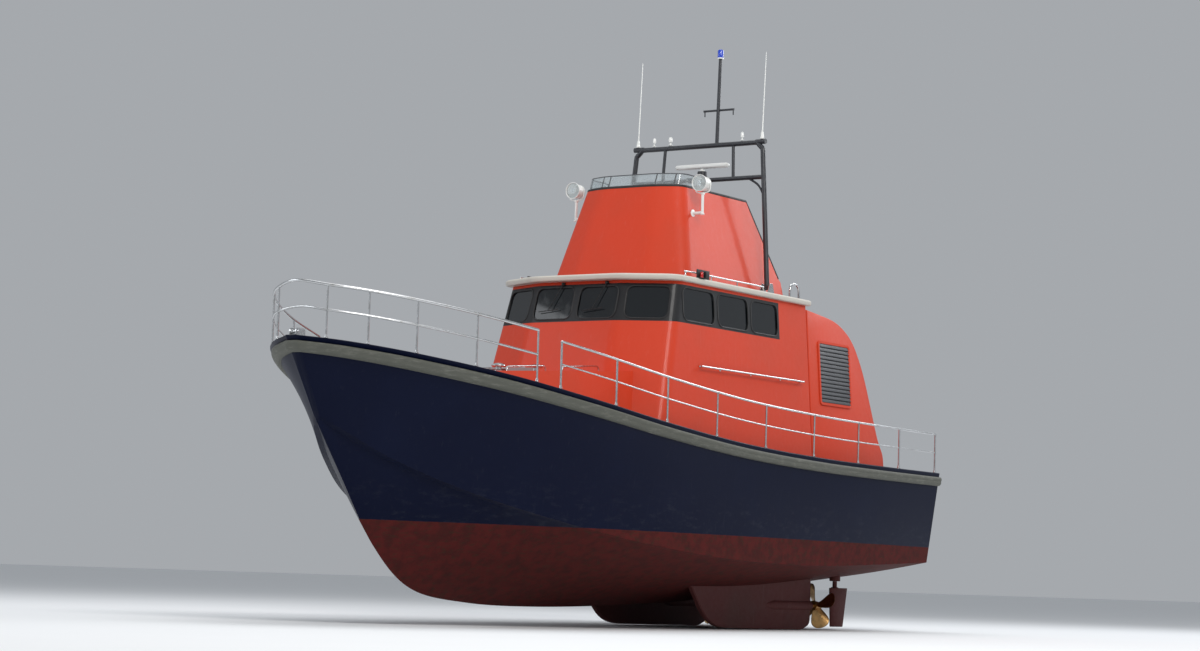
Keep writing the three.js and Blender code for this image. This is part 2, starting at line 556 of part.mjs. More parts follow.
// The two struts between the bars stand outside the circle that the radar's bar sweeps.
const barStrut = (sign, end) => end(1).lerp(end(-1), 0.5 - (sign * 640) / (2 * mast.topY));
for (const [, sign] of sides) {
  mastParts.push(rod(legFoot(sign), legTop(sign), mast.tube));
  mastParts.push(rod(barStrut(sign, legTop), barStrut(sign, (side) => along(side, lowBarZ)), 26, 8));
  mastParts.push(rod(V(mast.x, sign * mast.footY - 64 + seat, mast.footZ), V(mast.x, sign * mast.footY + 64 - seat, mast.footZ), 45, 12));
}
mastParts.push(block(mast.x - 310, mast.x + 20, -160, 160, lowBarZ + 10, lowBarZ + 40));
mastParts.push(turned([[0, 0], [110, 0], [110, 30], [75, 60], [75, 130], [0, 130]], radarX, 0, lowBarZ + 39, 14));
place("mast", join(mastParts), "dark");
for (const [side, sign] of sides) {
  const y = sign * mast.footY;
  const cheek = (edge) => sidePlate([[mast.x - 110, roofTop + seat], [mast.x - 45, mast.footZ + 55],
    [mast.x + 45, mast.footZ + 55], [mast.x + 110, roofTop + seat]], y + edge - 8, y + edge + 8);
  place("mast_foot_" + side, join([cheek(72), cheek(-72),
    block(mast.x - 110, mast.x + 110, y - 80, y + 80, roofTop + seat, roofTop + 14)]), "steel");
}
place("radar_scanner", join([block(radarX - 55, radarX + 55, -500, 500, lowBarZ + 210, lowBarZ + 290),
  rod(V(radarX, 0, lowBarZ + 169 + seat), V(radarX, 0, lowBarZ + 215), 40, 12)]), "white");
for (const [side, sign] of sides)
  place("aerial_" + side, join([
    turned([[0, 0], [34, 0], [22, 110], [0, 110]], mast.x - mast.rake, sign * 1170, mast.topZ + 42 + seat, 8),
    rod(V(mast.x - mast.rake, sign * 1170, mast.topZ + 100), V(mast.x - 150, sign * 1170, mast.poleTop - 100), 15, 6, 8),
  ]), "white");
place("mast_head_light", turned([[0, 0], [55, 0], [55, 130], [30, 150], [0, 150]],
  mast.x - 130, 330, mast.poleTop - 149, 12), "blue");

// Searchlights on brackets at the shoulders of the coaming.
const lampX = -1060;
const lampZ = 5490;
for (const [side, sign] of sides) {
  const y = sign * 1170;
  const lamp = rod(V(lampX - 100, y, lampZ), V(lampX + 120, y, lampZ), 105, 14, 130);
  const yoke = rod(V(lampX, y, lampZ - 470), V(lampX, y, lampZ - 50), 26);
  const arm = rod(V(lampX, y, lampZ - 450), V(lampX, sign * 900, lampZ - 450), 30);
  place("searchlight_" + side, join([lamp, yoke, arm]).subtract(coamingLoft(-seat, 0, -3000)), "white");
}

// Ladder up the after bulkhead to the roof.
const ladder = { x: -3880, y0: 900, y1: 1280 };
const ladderParts = [ladder.y0, ladder.y1].map((y) => tube([V(-3675, y, 1900), V(ladder.x + 40, y, 1930), V(ladder.x, y, 2060),
  V(ladder.x, y, 3000), V(ladder.x, y, 4080), V(ladder.x + 60, y, 4200), V(-3680, y, 4220), V(-3600, y, 4150),
  V(-3590, y, roofTop + seat)], 19, 22, 6));
for (let z = 2080; z < 4000; z += 300)
  ladderParts.push(rod(V(ladder.x, ladder.y0 - 8, z), V(ladder.x, ladder.y1 + 8, z), 15, 6));
place("ladder", join(ladderParts).subtract(openHouse.translate([-seat, 0, 0])).subtract(block(-far, 0, 0, far, roofTop - 90, roofTop + seat)
  .intersect(block(house.aftX - 110, 0, 0, far, 0, far))), "steel");

// Guard rails: a top rail and a middle rail on stanchions that stand on the bulwark.
const railPoint = (u, high) => {
  const p = topside(u, 1);
  return V(p.x, Math.max(0, p.y - capWidth / 2), p.z + high);
};
const railHigh = 640;
const railTube = 17;
function sideRail(sign, from, to, posts) {
  const row = (high, count) => Array.from({ length: count }, (_, i) => railPoint(from + ((to - from) * i) / (count - 1), high));
  const parts = [tube(row(railHigh, 9), railTube, 16, 6), tube(row(railHigh * 0.52, 9), 11, 16, 5)];
  for (const p of row(0, posts)) parts.push(rod(V(p.x, p.y, p.z - 8), V(p.x, p.y, p.z + railHigh), 15, 6));
  const rail = onDeck(join(parts));
  return sign > 0 ? rail : rail.mirror([0, 1, 0]);
}
for (const [side, sign] of sides) place("guard_rail_" + side, sideRail(sign, 0.012, 0.6, 9), "steel");

// Pulpit round the bow.
const pulpitStations = [17, 19, 21, 23, 25].map((k) => stations[k]);
const pulpitTop = pulpitStations.map((u) => railPoint(u, 700));
const pulpitLow = pulpitStations.map((u) => railPoint(u, 370));
const around = (points, nose) => [...points, nose, ...points.map((p) => V(p.x, -p.y, p.z)).reverse()];
const pulpitParts = [tube(around(pulpitTop, V(7020, 0, 3180)), 20, 26, 6), tube(around(pulpitLow, V(6900, 0, 2850)), 15, 26, 6)];
for (const u of pulpitStations)
  for (const [, sign] of sides) {
    const foot = railPoint(u, 0);
    pulpitParts.push(rod(V(foot.x, sign * foot.y, foot.z - 1.5), V(foot.x, sign * foot.y, foot.z + 700), 14, 6));
  }
place("pulpit", onDeck(join(pulpitParts)), "steel");

// Foredeck gear.
const foreDeckZ = 2130;
// The anchor lies flat on two chocks, and a taut chain runs back from its shackle.
const fluke = (sign, z) => [V(6060, sign * 78, z), V(6660, sign * 40, z), V(6740, sign * 60, z), V(6700, sign * 235, z)];
place("anchor", onDeck(join([
  sidePlate([[5850, foreDeckZ + 168], [6690, foreDeckZ + 128], [6690, foreDeckZ + 205], [5850, foreDeckZ + 203]], -15, 15),
  block(6640, 6742, -72, 72, foreDeckZ + 108, foreDeckZ + 212),
  rod(V(6700, -340, foreDeckZ + 162), V(6700, 340, foreDeckZ + 162), 15),
  loft([fluke(1, foreDeckZ + 154), fluke(1, foreDeckZ + 172)]),
  loft([fluke(1, foreDeckZ + 154), fluke(1, foreDeckZ + 172)]).mirror([0, 1, 0]),
  rod(V(5862, 0, foreDeckZ + 186), V(5790, 0, foreDeckZ + 182), 24, 8),
  rod(V(5800, 0, foreDeckZ + 182), V(5172, 0, foreDeckZ + 96), 13, 6),
  block(5900, 5980, -70, 70, foreDeckZ - 200, foreDeckZ + 172),
  block(6560, 6620, -200, 200, foreDeckZ - 200, foreDeckZ + 160),
])), "steel");

// Roller over the stem: two cheeks, a base plate between them and the roller.
place("bow_roller", onDeck(join([
  sidePlate([[6860, 2300], [6960, 2300], [6990, 2468], [7052, 2468], [7052, 2556], [6860, 2556]], 46, 58),
  sidePlate([[6860, 2300], [6960, 2300], [6990, 2468], [7052, 2468], [7052, 2556], [6860, 2556]], -58, -46),
  sidePlate([[6860, 2200], [6895, 2200], [6945, 2300], [6960, 2474], [6860, 2474]], -50, 50),
  rod(V(7012, -56, 2508), V(7012, 56, 2508), 30, 12),
])), "steel");
place("windlass", onDeck(join([
  turned([[0, 0], [150, 0], [150, 330], [0, 330]], 5050, 0, foreDeckZ - 300, 14),
  turned([[0, 0], [95, 0], [80, 60], [80, 160], [115, 210], [115, 240], [0, 240]], 5050, 0, foreDeckZ + 29, 14),
])), "dark");
for (const [side, sign] of sides)
  place("bollard_fore_" + side, onDeck(join([
    rod(V(4350, sign * 980, foreDeckZ - 400), V(4350, sign * 980, foreDeckZ + 100), 55, 10),
    rod(V(4350, sign * 980 - 150, foreDeckZ + 20), V(4350, sign * 980 + 150, foreDeckZ + 20), 24, 8),
  ])), "steel");
place("towing_post", onDeck(join([
  rod(V(-6150, 0, 1000), V(-6150, 0, 1900), 80, 12),
  rod(V(-6150, -260, 1720), V(-6150, 260, 1720), 32, 8),
])), "steel");

export default boat;
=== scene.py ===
import math

import bmesh
import bpy
import numpy as np
from mathutils import Matrix, Vector


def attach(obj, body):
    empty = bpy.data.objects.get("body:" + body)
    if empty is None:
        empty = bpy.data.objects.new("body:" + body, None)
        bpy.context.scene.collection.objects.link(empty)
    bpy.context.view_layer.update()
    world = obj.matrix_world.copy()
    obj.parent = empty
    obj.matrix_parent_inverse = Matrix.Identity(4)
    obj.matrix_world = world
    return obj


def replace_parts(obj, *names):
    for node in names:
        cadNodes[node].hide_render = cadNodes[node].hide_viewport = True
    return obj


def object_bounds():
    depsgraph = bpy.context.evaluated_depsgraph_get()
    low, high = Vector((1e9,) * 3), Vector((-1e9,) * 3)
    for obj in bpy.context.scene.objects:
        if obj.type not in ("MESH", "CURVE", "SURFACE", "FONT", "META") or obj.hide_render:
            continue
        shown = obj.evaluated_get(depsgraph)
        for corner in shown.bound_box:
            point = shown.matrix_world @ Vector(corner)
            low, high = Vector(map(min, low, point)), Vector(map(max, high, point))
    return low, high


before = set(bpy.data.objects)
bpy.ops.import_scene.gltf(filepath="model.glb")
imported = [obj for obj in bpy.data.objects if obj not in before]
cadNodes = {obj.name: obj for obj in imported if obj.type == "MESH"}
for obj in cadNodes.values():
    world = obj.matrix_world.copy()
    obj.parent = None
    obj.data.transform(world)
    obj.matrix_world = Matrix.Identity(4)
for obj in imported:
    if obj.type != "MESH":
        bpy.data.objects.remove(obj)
cadBox = [list(corner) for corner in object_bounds()]
sides = (("port", 1), ("starboard", -1))
mirror = np.array([1.0, -1.0, 1.0])
fullTurn = 2 * math.pi


# Meshes. A material is given by its name in paints; a slot that is named is not used.
def gridFaces(rows, columns, wrapRows=False, wrapColumns=False):
    # one square for each row and column of the grid; wrapping joins the last one to the first
    r = np.arange(rows if wrapRows else rows - 1)
    c = np.arange(columns if wrapColumns else columns - 1)
    r, c = np.meshgrid(r, c, indexing="ij")
    down, right = (r + 1) % rows, (c + 1) % columns
    quads = np.stack([r * columns + c, r * columns + right, down * columns + right, down * columns + c], -1)
    return quads.reshape(-1, 4).tolist()


def outward(mesh, merge=0.0):
    work = bmesh.new()
    work.from_mesh(mesh)
    if merge:
        bmesh.ops.remove_doubles(work, verts=work.verts, dist=merge)
    bmesh.ops.recalc_face_normals(work, faces=work.faces)
    work.to_mesh(mesh)
    work.free()


def addMesh(name, points, faces, paint, sharp=36, body="boat"):
    mesh = bpy.data.meshes.new(name)
    mesh.from_pydata(np.asarray(points, float).reshape(-1, 3).tolist(), [], faces)
    outward(mesh)
    mesh.polygons.foreach_set("use_smooth", [True] * len(mesh.polygons))
    mesh.set_sharp_from_angle(angle=math.radians(sharp))
    piece = bpy.data.objects.new(name, mesh)
    bpy.context.scene.collection.objects.link(piece)
    for each in paint.split():
        mesh.materials.append(paints[each])
    if body:
        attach(piece, body)
    return piece


def lay(flat, value, axis=2):
    # a flat outline in space: the value, one for all points or one for each, goes in as the axis it lacks
    return np.insert(np.asarray(flat, float), axis, value, axis=1)


def tubeGrid(path, radius, count, closed=False):
    # ring k, point j: path_k + radius * (cos(t) * across + sin(t) * up), with t = 2 pi j / count
    path = np.asarray(path, float)
    ahead = np.roll(path, -1, 0) - np.roll(path, 1, 0)
    if not closed:
        ahead[0], ahead[-1] = path[1] - path[0], path[-1] - path[-2]
    ahead /= np.linalg.norm(ahead, axis=1)[:, None]
    guide = np.array([0.0, 0.0, 1.0]) if abs(ahead[:, 2]).max() < 0.9 else np.array([1.0, 0.17, 0.0])
    if abs(ahead @ guide).max() > 0.995:
        guide = np.array([0.0, 1.0, 0.0])
    across = np.cross(ahead, guide)
    across /= np.linalg.norm(across, axis=1)[:, None]
    up = np.cross(across, ahead)
    t = np.linspace(0, fullTurn, count, endpoint=False)
    radius = np.broadcast_to(np.asarray(radius, float), (len(path),))
    ring = np.cos(t)[None, :, None] * across[:, None] + np.sin(t)[None, :, None] * up[:, None]
    return path[:, None] + radius[:, None, None] * ring


def latheGrid(profile, origin, axis, count):
    # profile row (r, h): origin + h * axis + r * (cos(t) * a + sin(t) * b)
    axis = np.asarray(axis, float) / np.linalg.norm(axis)
    a = np.cross(axis, [0.0, 0.0, 1.0] if abs(axis[2]) < 0.9 else [1.0, 0.0, 0.0])
    a /= np.linalg.norm(a)
    t = np.linspace(0, fullTurn, count, endpoint=False)
    ring = np.cos(t)[:, None] * a + np.sin(t)[:, None] * np.cross(axis, a)
    profile = np.array(profile, float)
    radius = np.maximum(profile[:, 0], 1e-4)[:, None, None]
    return np.asarray(origin, float) + profile[:, 1, None, None] * axis + radius * ring


def splineAt(points, s):
    # Catmull-Rom through the points: p(t) = b + t/2 (c - a + t (2a - 5b + 4c - d + t (3(b - c) + d - a)))
    i = np.minimum(s.astype(int), len(points) - 2)
    t = (s - i)[:, None]
    a, b, c, d = (points[np.clip(i + k, 0, len(points) - 1)] for k in (-1, 0, 1, 2))
    return b + 0.5 * t * (c - a + t * (2 * a - 5 * b + 4 * c - d + t * (3 * (b - c) + d - a)))


def smoothPath(points, steps):
    return splineAt(np.asarray(points, float), np.linspace(0, len(points) - 1, steps))


def roundCorners(corners, radius, steps=6):
    # each corner becomes a quadratic arc between the points at radius along its two edges
    corners = np.asarray(corners, float)
    radius = np.broadcast_to(np.asarray(radius, float), (len(corners),))[:, None]

    def toward(other):
        step = other - corners
        length = np.linalg.norm(step, axis=1)[:, None]
        return (corners + step / length * np.minimum(radius, length * 0.45))[:, None]

    start, end = toward(np.roll(corners, 1, 0)), toward(np.roll(corners, -1, 0))
    t = np.linspace(0, 1, steps)[None, :, None]
    arcs = (1 - t) ** 2 * start + 2 * t * (1 - t) * corners[:, None] + t ** 2 * end
    return arcs.reshape(-1, corners.shape[1])


def roundedRect(width, height, radius, steps=6):
    w, h, reach = width / 2, height / 2, radius * 1.6  # the arcs start this far from the corners
    return roundCorners([(-w, -h), (w, -h), (w, h), (-w, h)], reach, steps)


# Collects shapes into the points and faces of one piece.
class Builder:
    def __init__(self):
        self.points, self.faces, self.count = [], [], 0

    def grid(self, points, wrapRows=False, wrapColumns=True, capRows=False):
        points = np.asarray(points, float)
        rows, columns = points.shape[:2]
        faces = gridFaces(rows, columns, wrapRows, wrapColumns)
        if capRows:
            faces.append(list(range(columns))[::-1])
            faces.append([(rows - 1) * columns + k for k in range(columns)])
        self.points.append(points.reshape(-1, 3))
        self.faces += [[k + self.count for k in face] for face in faces]
        self.count += rows * columns
        return self

    def loft(self, loops):  # a solid through the loops, closed at both ends
        return self.grid(loops, capRows=True)

    def ring(self, loops):  # the last loop joins the first again
        return self.grid(loops, wrapRows=True)

    def pipe(self, path, radius, count=12, closed=False):
        return self.grid(tubeGrid(path, radius, count, closed), wrapRows=closed, capRows=not closed)

    def bar(self, start, end, radius, count=12, steps=3):
        return self.pipe(np.linspace(start, end, steps), radius, count)

    def bend(self, points, steps, radius, count=12):
        return self.pipe(smoothPath(points, steps), radius, count)

    def lathe(self, profile, origin, axis=(0, 0, 1), count=28):
        # a solid turned from (radius, height) pairs; an end that is open is run in to the axis
        first, last = ([(0, h)] if r > 0 else [] for r, h in (profile[0], profile[-1]))
        return self.loft(latheGrid([*first, *profile, *last], origin, axis, count))

    def flange(self, radius, edge, crown, top, origin, axis, count):
        return self.lathe([(radius, 0), (radius, edge), (crown, top)], origin, axis, count)

    def box(self, low, high, radius=0.01, steps=3):
        # stacked rounded rectangles whose inset follows a quarter circle at the top and the bottom
        low, high = np.asarray(low, float), np.asarray(high, float)
        turn = np.linspace(0, math.pi / 2, steps)
        inset, rise = radius * (1 - np.sin(turn)), radius * (1 - np.cos(turn))
        levels = list(zip(low[2] + rise, inset)) + list(zip(high[2] - rise[::-1], inset[::-1]))
        middle, size = ((low + high) / 2)[:2], (high - low)[:2]
        loops = [lay(roundedRect(*(size - 2 * i), radius, steps + 1) + middle, z) for z, i in levels]
        return self.loft(loops)

    def plate(self, origin, across, up, outline, levels):
        # an outline on the plane through the origin, raised level by level: each level is (height, inset)
        across, up = (np.asarray(v, float) / np.linalg.norm(v) for v in (across, up))
        half = np.abs(outline).max(0)
        flats = [(outline * (1 - inset / half), height) for height, inset in levels]
        return self.loft([np.asarray(origin, float) + flat[:, :1] * across + flat[:, 1:] * up
                          + height * np.cross(across, up) for flat, height in flats])

    def make(self, name, paint, sharp=36, body="boat", slot=None):
        return addMesh(name, np.concatenate(self.points), self.faces, paint, sharp, body)


def cutAway(piece, cutter, solver="EXACT"):
    tool = cutter.make("cutter", "steel", body=None)
    change = piece.modifiers.new("cut", "BOOLEAN")
    change.operation, change.solver, change.object = "DIFFERENCE", solver, tool
    piece.data = applied(piece)
    piece.data.set_sharp_from_angle(angle=math.radians(32))
    bpy.data.objects.remove(tool, do_unlink=True)


def applied(piece):
    # the mesh with its modifiers applied, which are then taken off the piece
    bpy.context.view_layer.update()
    mesh = bpy.data.meshes.new_from_object(piece.evaluated_get(bpy.context.evaluated_depsgraph_get()))
    piece.modifiers.clear()
    return mesh


# A material's node tree, with short calls for the nodes that are used here.
class Nodes:
    def __init__(self, name):
        self.material = bpy.data.materials.new(name)
        self.material.use_nodes = True
        self.tree = self.material.node_tree
        self.shader = self.tree.nodes["Principled BSDF"]
        self.place = self.add("ShaderNodeTexCoord").outputs["Object"]
        split = self.add("ShaderNodeSeparateXYZ")
        self.tree.links.new(self.place, split.inputs[0])
        self.x, self.z = split.outputs[0], split.outputs[2]

    def add(self, kind, **values):
        node = self.tree.nodes.new(kind)
        for key, value in values.items():
            setattr(node, key, value)
        return node

    def feed(self, target, value):
        if isinstance(value, bpy.types.NodeSocket):
            self.tree.links.new(value, target)
        else:
            target.default_value = (*value, 1.0) if target.type == "RGBA" else value

    def math(self, operation, a, b):
        node = self.add("ShaderNodeMath", operation=operation)
        self.feed(node.inputs[0], a)
        self.feed(node.inputs[1], b)
        return node.outputs[0]

    def scaled(self, value, by, plus):
        return self.math("ADD", self.math("MULTIPLY", value, by), plus)

    def step(self, value, low, high):
        node = self.add("ShaderNodeMapRange", interpolation_type="SMOOTHSTEP")
        for key, item in enumerate((value, low, high, 0.0, 1.0)):
            self.feed(node.inputs[key], item)
        return node.outputs[0]

    def noise(self, scale, detail=4.0, stretch=(1, 1, 1), rough=0.55):
        shift, node = self.add("ShaderNodeMapping"), self.add("ShaderNodeTexNoise")
        self.feed(shift.inputs["Vector"], self.place)
        self.feed(node.inputs["Vector"], shift.outputs[0])
        shift.inputs["Scale"].default_value = stretch
        for key, value in (("Scale", scale), ("Detail", detail), ("Roughness", rough)):
            node.inputs[key].default_value = value
        return node.outputs["Fac"]

    def mix(self, factor, a, b):
        node = self.add("ShaderNodeMix", data_type="RGBA")
        self.feed(node.inputs["Factor"], factor)
        for key, colour in (("A", a), ("B", b)):
            self.feed(next(s for s in node.inputs if s.name == key and s.type == "RGBA"), colour)
        return next(s for s in node.outputs if s.type == "RGBA")

    def finish(self, colour, rough, height=None, bump=0.0, deep=0.002, metallic=0.0, coat=0.0, **fixed):
        for key, value in (("Base Color", colour), ("Roughness", rough), ("Metallic", metallic)):
            self.feed(self.shader.inputs[key], value)
        for key, value in dict(fixed, Coat_Weight=coat, Coat_Roughness=0.12).items():
            self.shader.inputs[key.replace("_", " ")].default_value = value
        if height is not None:
            node = self.add("ShaderNodeBump")
            for key, value in (("Strength", bump), ("Distance", deep), ("Height", height)):
                self.feed(node.inputs[key], value)
            self.feed(self.shader.inputs["Normal"], node.outputs[0])
        return self.material


def weathered(nodes, base, dull, rain=0.5):
    # broad fading, plus faint runs that rain and spray leave down upright faces
    fade = nodes.step(nodes.noise(0.9, 5.0), 0.42, 0.72)
    colour = nodes.mix(nodes.math("MULTIPLY", fade, 0.35), base, dull)
    runs = nodes.step(nodes.noise(3.2, 6.0, (6.0, 6.0, 0.28), 0.7), 0.56, 0.78)
    return nodes.mix(nodes.math("MULTIPLY", runs, 0.16 * rain), colour, tuple(0.35 + 0.4 * c for c in dull))


def mouldingPaint(name, banded):
    # orange; the wheelhouse has a gloss black band that joins the windows, as far aft as the last one
    nodes = Nodes(name)
    colour = weathered(nodes, (0.60, 0.037, 0.004), (0.47, 0.042, 0.010))
    if banded:
        belowTop = nodes.scaled(nodes.step(nodes.z, 3.812, 3.815), -1.0, 1.0)
        inBand = nodes.math("MULTIPLY", nodes.step(nodes.z, 3.238, 3.241), belowTop)
        inBand = nodes.math("MULTIPLY", inBand, nodes.step(nodes.x, -2.785, -2.782))
        colour = nodes.mix(inBand, colour, (0.006, 0.0065, 0.008))
    rough = nodes.scaled(nodes.noise(14.0, 5.0), 0.22, 0.5)
    pores = nodes.noise(420.0, 2.0)
    return nodes.finish(colour, rough, pores, 0.05, 0.0006, coat=0.15, Specular_IOR_Level=0.4)


def hullPaint():
    # navy topsides above dark red antifouling, with salt and scum where the water reaches
    nodes = Nodes("hull_paint")
    wander = nodes.scaled(nodes.noise(2.6, 5.0), 0.01, -0.005)
    navy = weathered(nodes, (0.0021, 0.0043, 0.0190), (0.0036, 0.0070, 0.0265), 0.12)
    nearWater = nodes.scaled(nodes.step(nodes.z, 0.1, 1.0), -0.06, 0.06)
    streaks = nodes.step(nodes.noise(4.5, 7.0, (1.0, 1.0, 2.6), 0.7), 0.5, 0.74)
    salt = nodes.math("MULTIPLY", nearWater, streaks)
    navy = nodes.mix(salt, navy, (0.20, 0.21, 0.22))
    patches = nodes.step(nodes.noise(7.0, 6.0), 0.35, 0.7)
    red = nodes.mix(patches, (0.085, 0.013, 0.012), (0.052, 0.012, 0.011))
    slime = nodes.math("MULTIPLY", nodes.step(nodes.noise(11.0, 6.0, (1.0, 1.0, 3.0)), 0.5, 0.7), 0.45)
    red = nodes.mix(slime, red, (0.028, 0.026, 0.014))
    above = nodes.step(nodes.math("ADD", nodes.z, wander), 0.118, 0.122)
    rough = nodes.mix(above, (0.72, 0.72, 0.72), (0.38, 0.38, 0.38))
    return nodes.finish(nodes.mix(above, red, navy), rough, nodes.noise(60.0, 4.0), 0.08, 0.0015,
                        Specular_IOR_Level=0.08)


def deckPaint():
    # grey paint with grit in it, paler where feet have worn it
    nodes = Nodes("deck_paint")
    worn = nodes.step(nodes.noise(1.3, 5.0), 0.45, 0.7)
    colour = nodes.mix(nodes.math("MULTIPLY", worn, 0.6), (0.20, 0.215, 0.225), (0.29, 0.30, 0.30))
    grit = nodes.noise(900.0, 2.0)
    colour = nodes.mix(nodes.step(grit, 0.35, 0.8), colour, (0.36, 0.37, 0.37))
    return nodes.finish(colour, 0.82, grit, 0.55, 0.0016)


def plainPaint(name, base, dull, roughness=0.34, coat=0.2, bumpScale=380.0, bump=0.06, rain=0.5):
    nodes = Nodes(name)
    rough = nodes.scaled(nodes.noise(16.0, 5.0), 0.24, roughness - 0.12)
    return nodes.finish(weathered(nodes, base, dull, rain), rough, nodes.noise(bumpScale, 3.0), bump, 0.0008,
                        coat=coat)


def lensPaint(name, base, dull):
    return plainPaint(name, base, dull, 0.14, 0.5, 200.0, 0.02, 0.0)


def metal(name, base, dull, roughness, pits=0.05):
    nodes = Nodes(name)
    colour = nodes.mix(nodes.step(nodes.noise(9.0, 6.0), 0.4, 0.75), base, dull)
    polish = nodes.scaled(nodes.noise(55.0, 5.0), 0.2, roughness - 0.1)
    return nodes.finish(colour, polish, nodes.noise(240.0, 4.0), pits, 0.0005, metallic=1.0)


def rubber():
    nodes = Nodes("belting_rubber")
    scuffs = nodes.step(nodes.noise(5.0, 7.0, (1.0, 1.0, 5.0), 0.75), 0.48, 0.72)
    colour = nodes.mix(nodes.math("MULTIPLY", scuffs, 0.7), (0.085, 0.088, 0.072), (0.19, 0.19, 0.165))
    return nodes.finish(colour, nodes.scaled(scuffs, 0.12, 0.66), nodes.noise(150.0, 5.0), 0.25, 0.002)


def darkGlass():
    nodes = Nodes("window_glass")
    dried = nodes.step(nodes.noise(6.0, 7.0, (1.0, 1.0, 0.5)), 0.5, 0.8)
    return nodes.finish((0.010, 0.013, 0.016), nodes.scaled(dried, 0.07, 0.035), IOR=1.5,
                        Transmission_Weight=0.35, Specular_IOR_Level=0.5)


def clearSheet():
    nodes = Nodes("screen_clear")
    haze = nodes.step(nodes.noise(9.0, 7.0), 0.45, 0.8)
    return nodes.finish((0.80, 0.86, 0.88), nodes.scaled(haze, 0.12, 0.04), IOR=1.49,
                        Transmission_Weight=0.85)


def leather():
    # vinyl with a fine pebbled grain, shiny where it is rubbed
    nodes = Nodes("seat_cover")
    pebble = nodes.add("ShaderNodeTexVoronoi", feature="F1")
    nodes.feed(pebble.inputs["Vector"], nodes.place)
    pebble.inputs["Scale"].default_value = 420.0
    rub = nodes.step(nodes.noise(7.0, 5.0), 0.4, 0.7)
    colour = nodes.mix(rub, (0.017, 0.018, 0.020), (0.030, 0.031, 0.034))
    return nodes.finish(colour, nodes.scaled(rub, -0.16, 0.58), pebble.outputs["Distance"], 0.35, 0.001)


paints = {
    "orange": mouldingPaint("orange_paint", False),
    "house": mouldingPaint("house_paint", True),
    "hull": hullPaint(),
    "deck": deckPaint(),
    "rubber": rubber(),
    "glass": darkGlass(),
    "clear": clearSheet(),
    "seat": leather(),
    "roof": plainPaint("roof_grey", (0.56, 0.53, 0.47), (0.42, 0.40, 0.36), 0.5, 0.05),
    "console": plainPaint("console_dark", (0.022, 0.023, 0.027), (0.034, 0.035, 0.039), 0.55, 0, 700.0, 0.3),
    "lid": plainPaint("lid_grey", (0.27, 0.285, 0.295), (0.20, 0.205, 0.21), 0.6, 0.0, 800.0, 0.45),
    "engine": plainPaint("engine_paint", (0.05, 0.085, 0.115), (0.035, 0.045, 0.05), 0.4, 0.1),
    "mast": plainPaint("mast_paint", (0.020, 0.022, 0.028), (0.040, 0.042, 0.048), 0.42, 0.1),
    "white": plainPaint("white_paint", (0.80, 0.81, 0.79), (0.62, 0.62, 0.58), 0.32, 0.25),
    "black": plainPaint("black_rubber", (0.010, 0.010, 0.011), (0.022, 0.022, 0.023), 0.6, 0.0, 300.0, 0.2),
    "antifoul": plainPaint("antifoul", (0.085, 0.013, 0.012), (0.040, 0.020, 0.014), 0.75, 0.0, 90.0, 0.3),
    "blue": lensPaint("blue_lens", (0.010, 0.055, 0.52), (0.012, 0.045, 0.40)),
    "red": lensPaint("red_lens", (0.52, 0.012, 0.010), (0.42, 0.012, 0.010)),
    "green": lensPaint("green_lens", (0.010, 0.30, 0.075), (0.010, 0.24, 0.06)),
    "steel": metal("steel", (0.62, 0.63, 0.64), (0.50, 0.50, 0.49), 0.24),
    "galvanised": metal("galvanised", (0.42, 0.43, 0.44), (0.28, 0.28, 0.27), 0.5, 0.3),
    "bronze": metal("bronze", (0.50, 0.30, 0.12), (0.26, 0.17, 0.08), 0.34),
}
print("stage: materials made", len(paints))

# Hull lines, in metres: the same sections as in the solids, from the transom to the stem.
hullColumns = ("keelX", "keelZ", "chineX", "chineY", "chineZ", "sheerX", "sheerY", "sheerZ", "bulwark",
               "flare")
hullRows = np.array([
    (-6.980, -0.470, -7.030, 2.050, -0.130, -7.130, 2.210, 1.370, 0.120, 0.000),
    (-4.950, -0.660, -4.980, 2.170, -0.210, -5.000, 2.335, 1.370, 0.120, 0.000),
    (-2.800, -0.870, -2.800, 2.220, -0.270, -2.800, 2.385, 1.395, 0.120, 0.000),
    (-0.600, -0.970, -0.600, 2.190, -0.230, -0.600, 2.390, 1.480, 0.120, 0.010),
    (1.400, -1.010, 1.400, 2.010, -0.070, 1.400, 2.350, 1.650, 0.140, 0.040),
    (3.050, -0.970, 3.100, 1.640, 0.190, 3.150, 2.180, 1.880, 0.180, 0.090),
    (4.350, -0.790, 4.500, 1.130, 0.520, 4.700, 1.800, 2.110, 0.230, 0.130),
    (5.200, -0.230, 5.550, 0.620, 0.900, 5.950, 1.230, 2.290, 0.270, 0.120),
    (5.900, 0.620, 6.200, 0.270, 1.250, 6.700, 0.660, 2.400, 0.290, 0.060),
    (6.450, 1.330, 6.480, 0.045, 1.420, 7.080, 0.090, 2.460, 0.006, 0.000),
])
hullShape = {"stations": 150, "cap": 0.070, "chineFlat": 0.110, "camber": 0.070, "deckRows": 8,
             "wellLow": (-5.480, -0.640, -0.180), "wellHigh": (-4.480, 0.640, 2.000)}


def hullLine(u):
    # every column of the table at each u, by the same spline as the solids' lines
    values = splineAt(hullRows, u * (len(hullRows) - 1))
    return {name: values[:, k] for k, name in enumerate(hullColumns)}


def topside(line, v):
    # the straight line from chine to sheer, hollowed by flare * 4 v (1 - v)
    x, y, z = (line["chine" + c] + (line["sheer" + c] - line["chine" + c]) * v for c in "XYZ")
    return np.stack([x, np.maximum(y - line["flare"] * 4 * v * (1 - v), 0.04), z], -1)


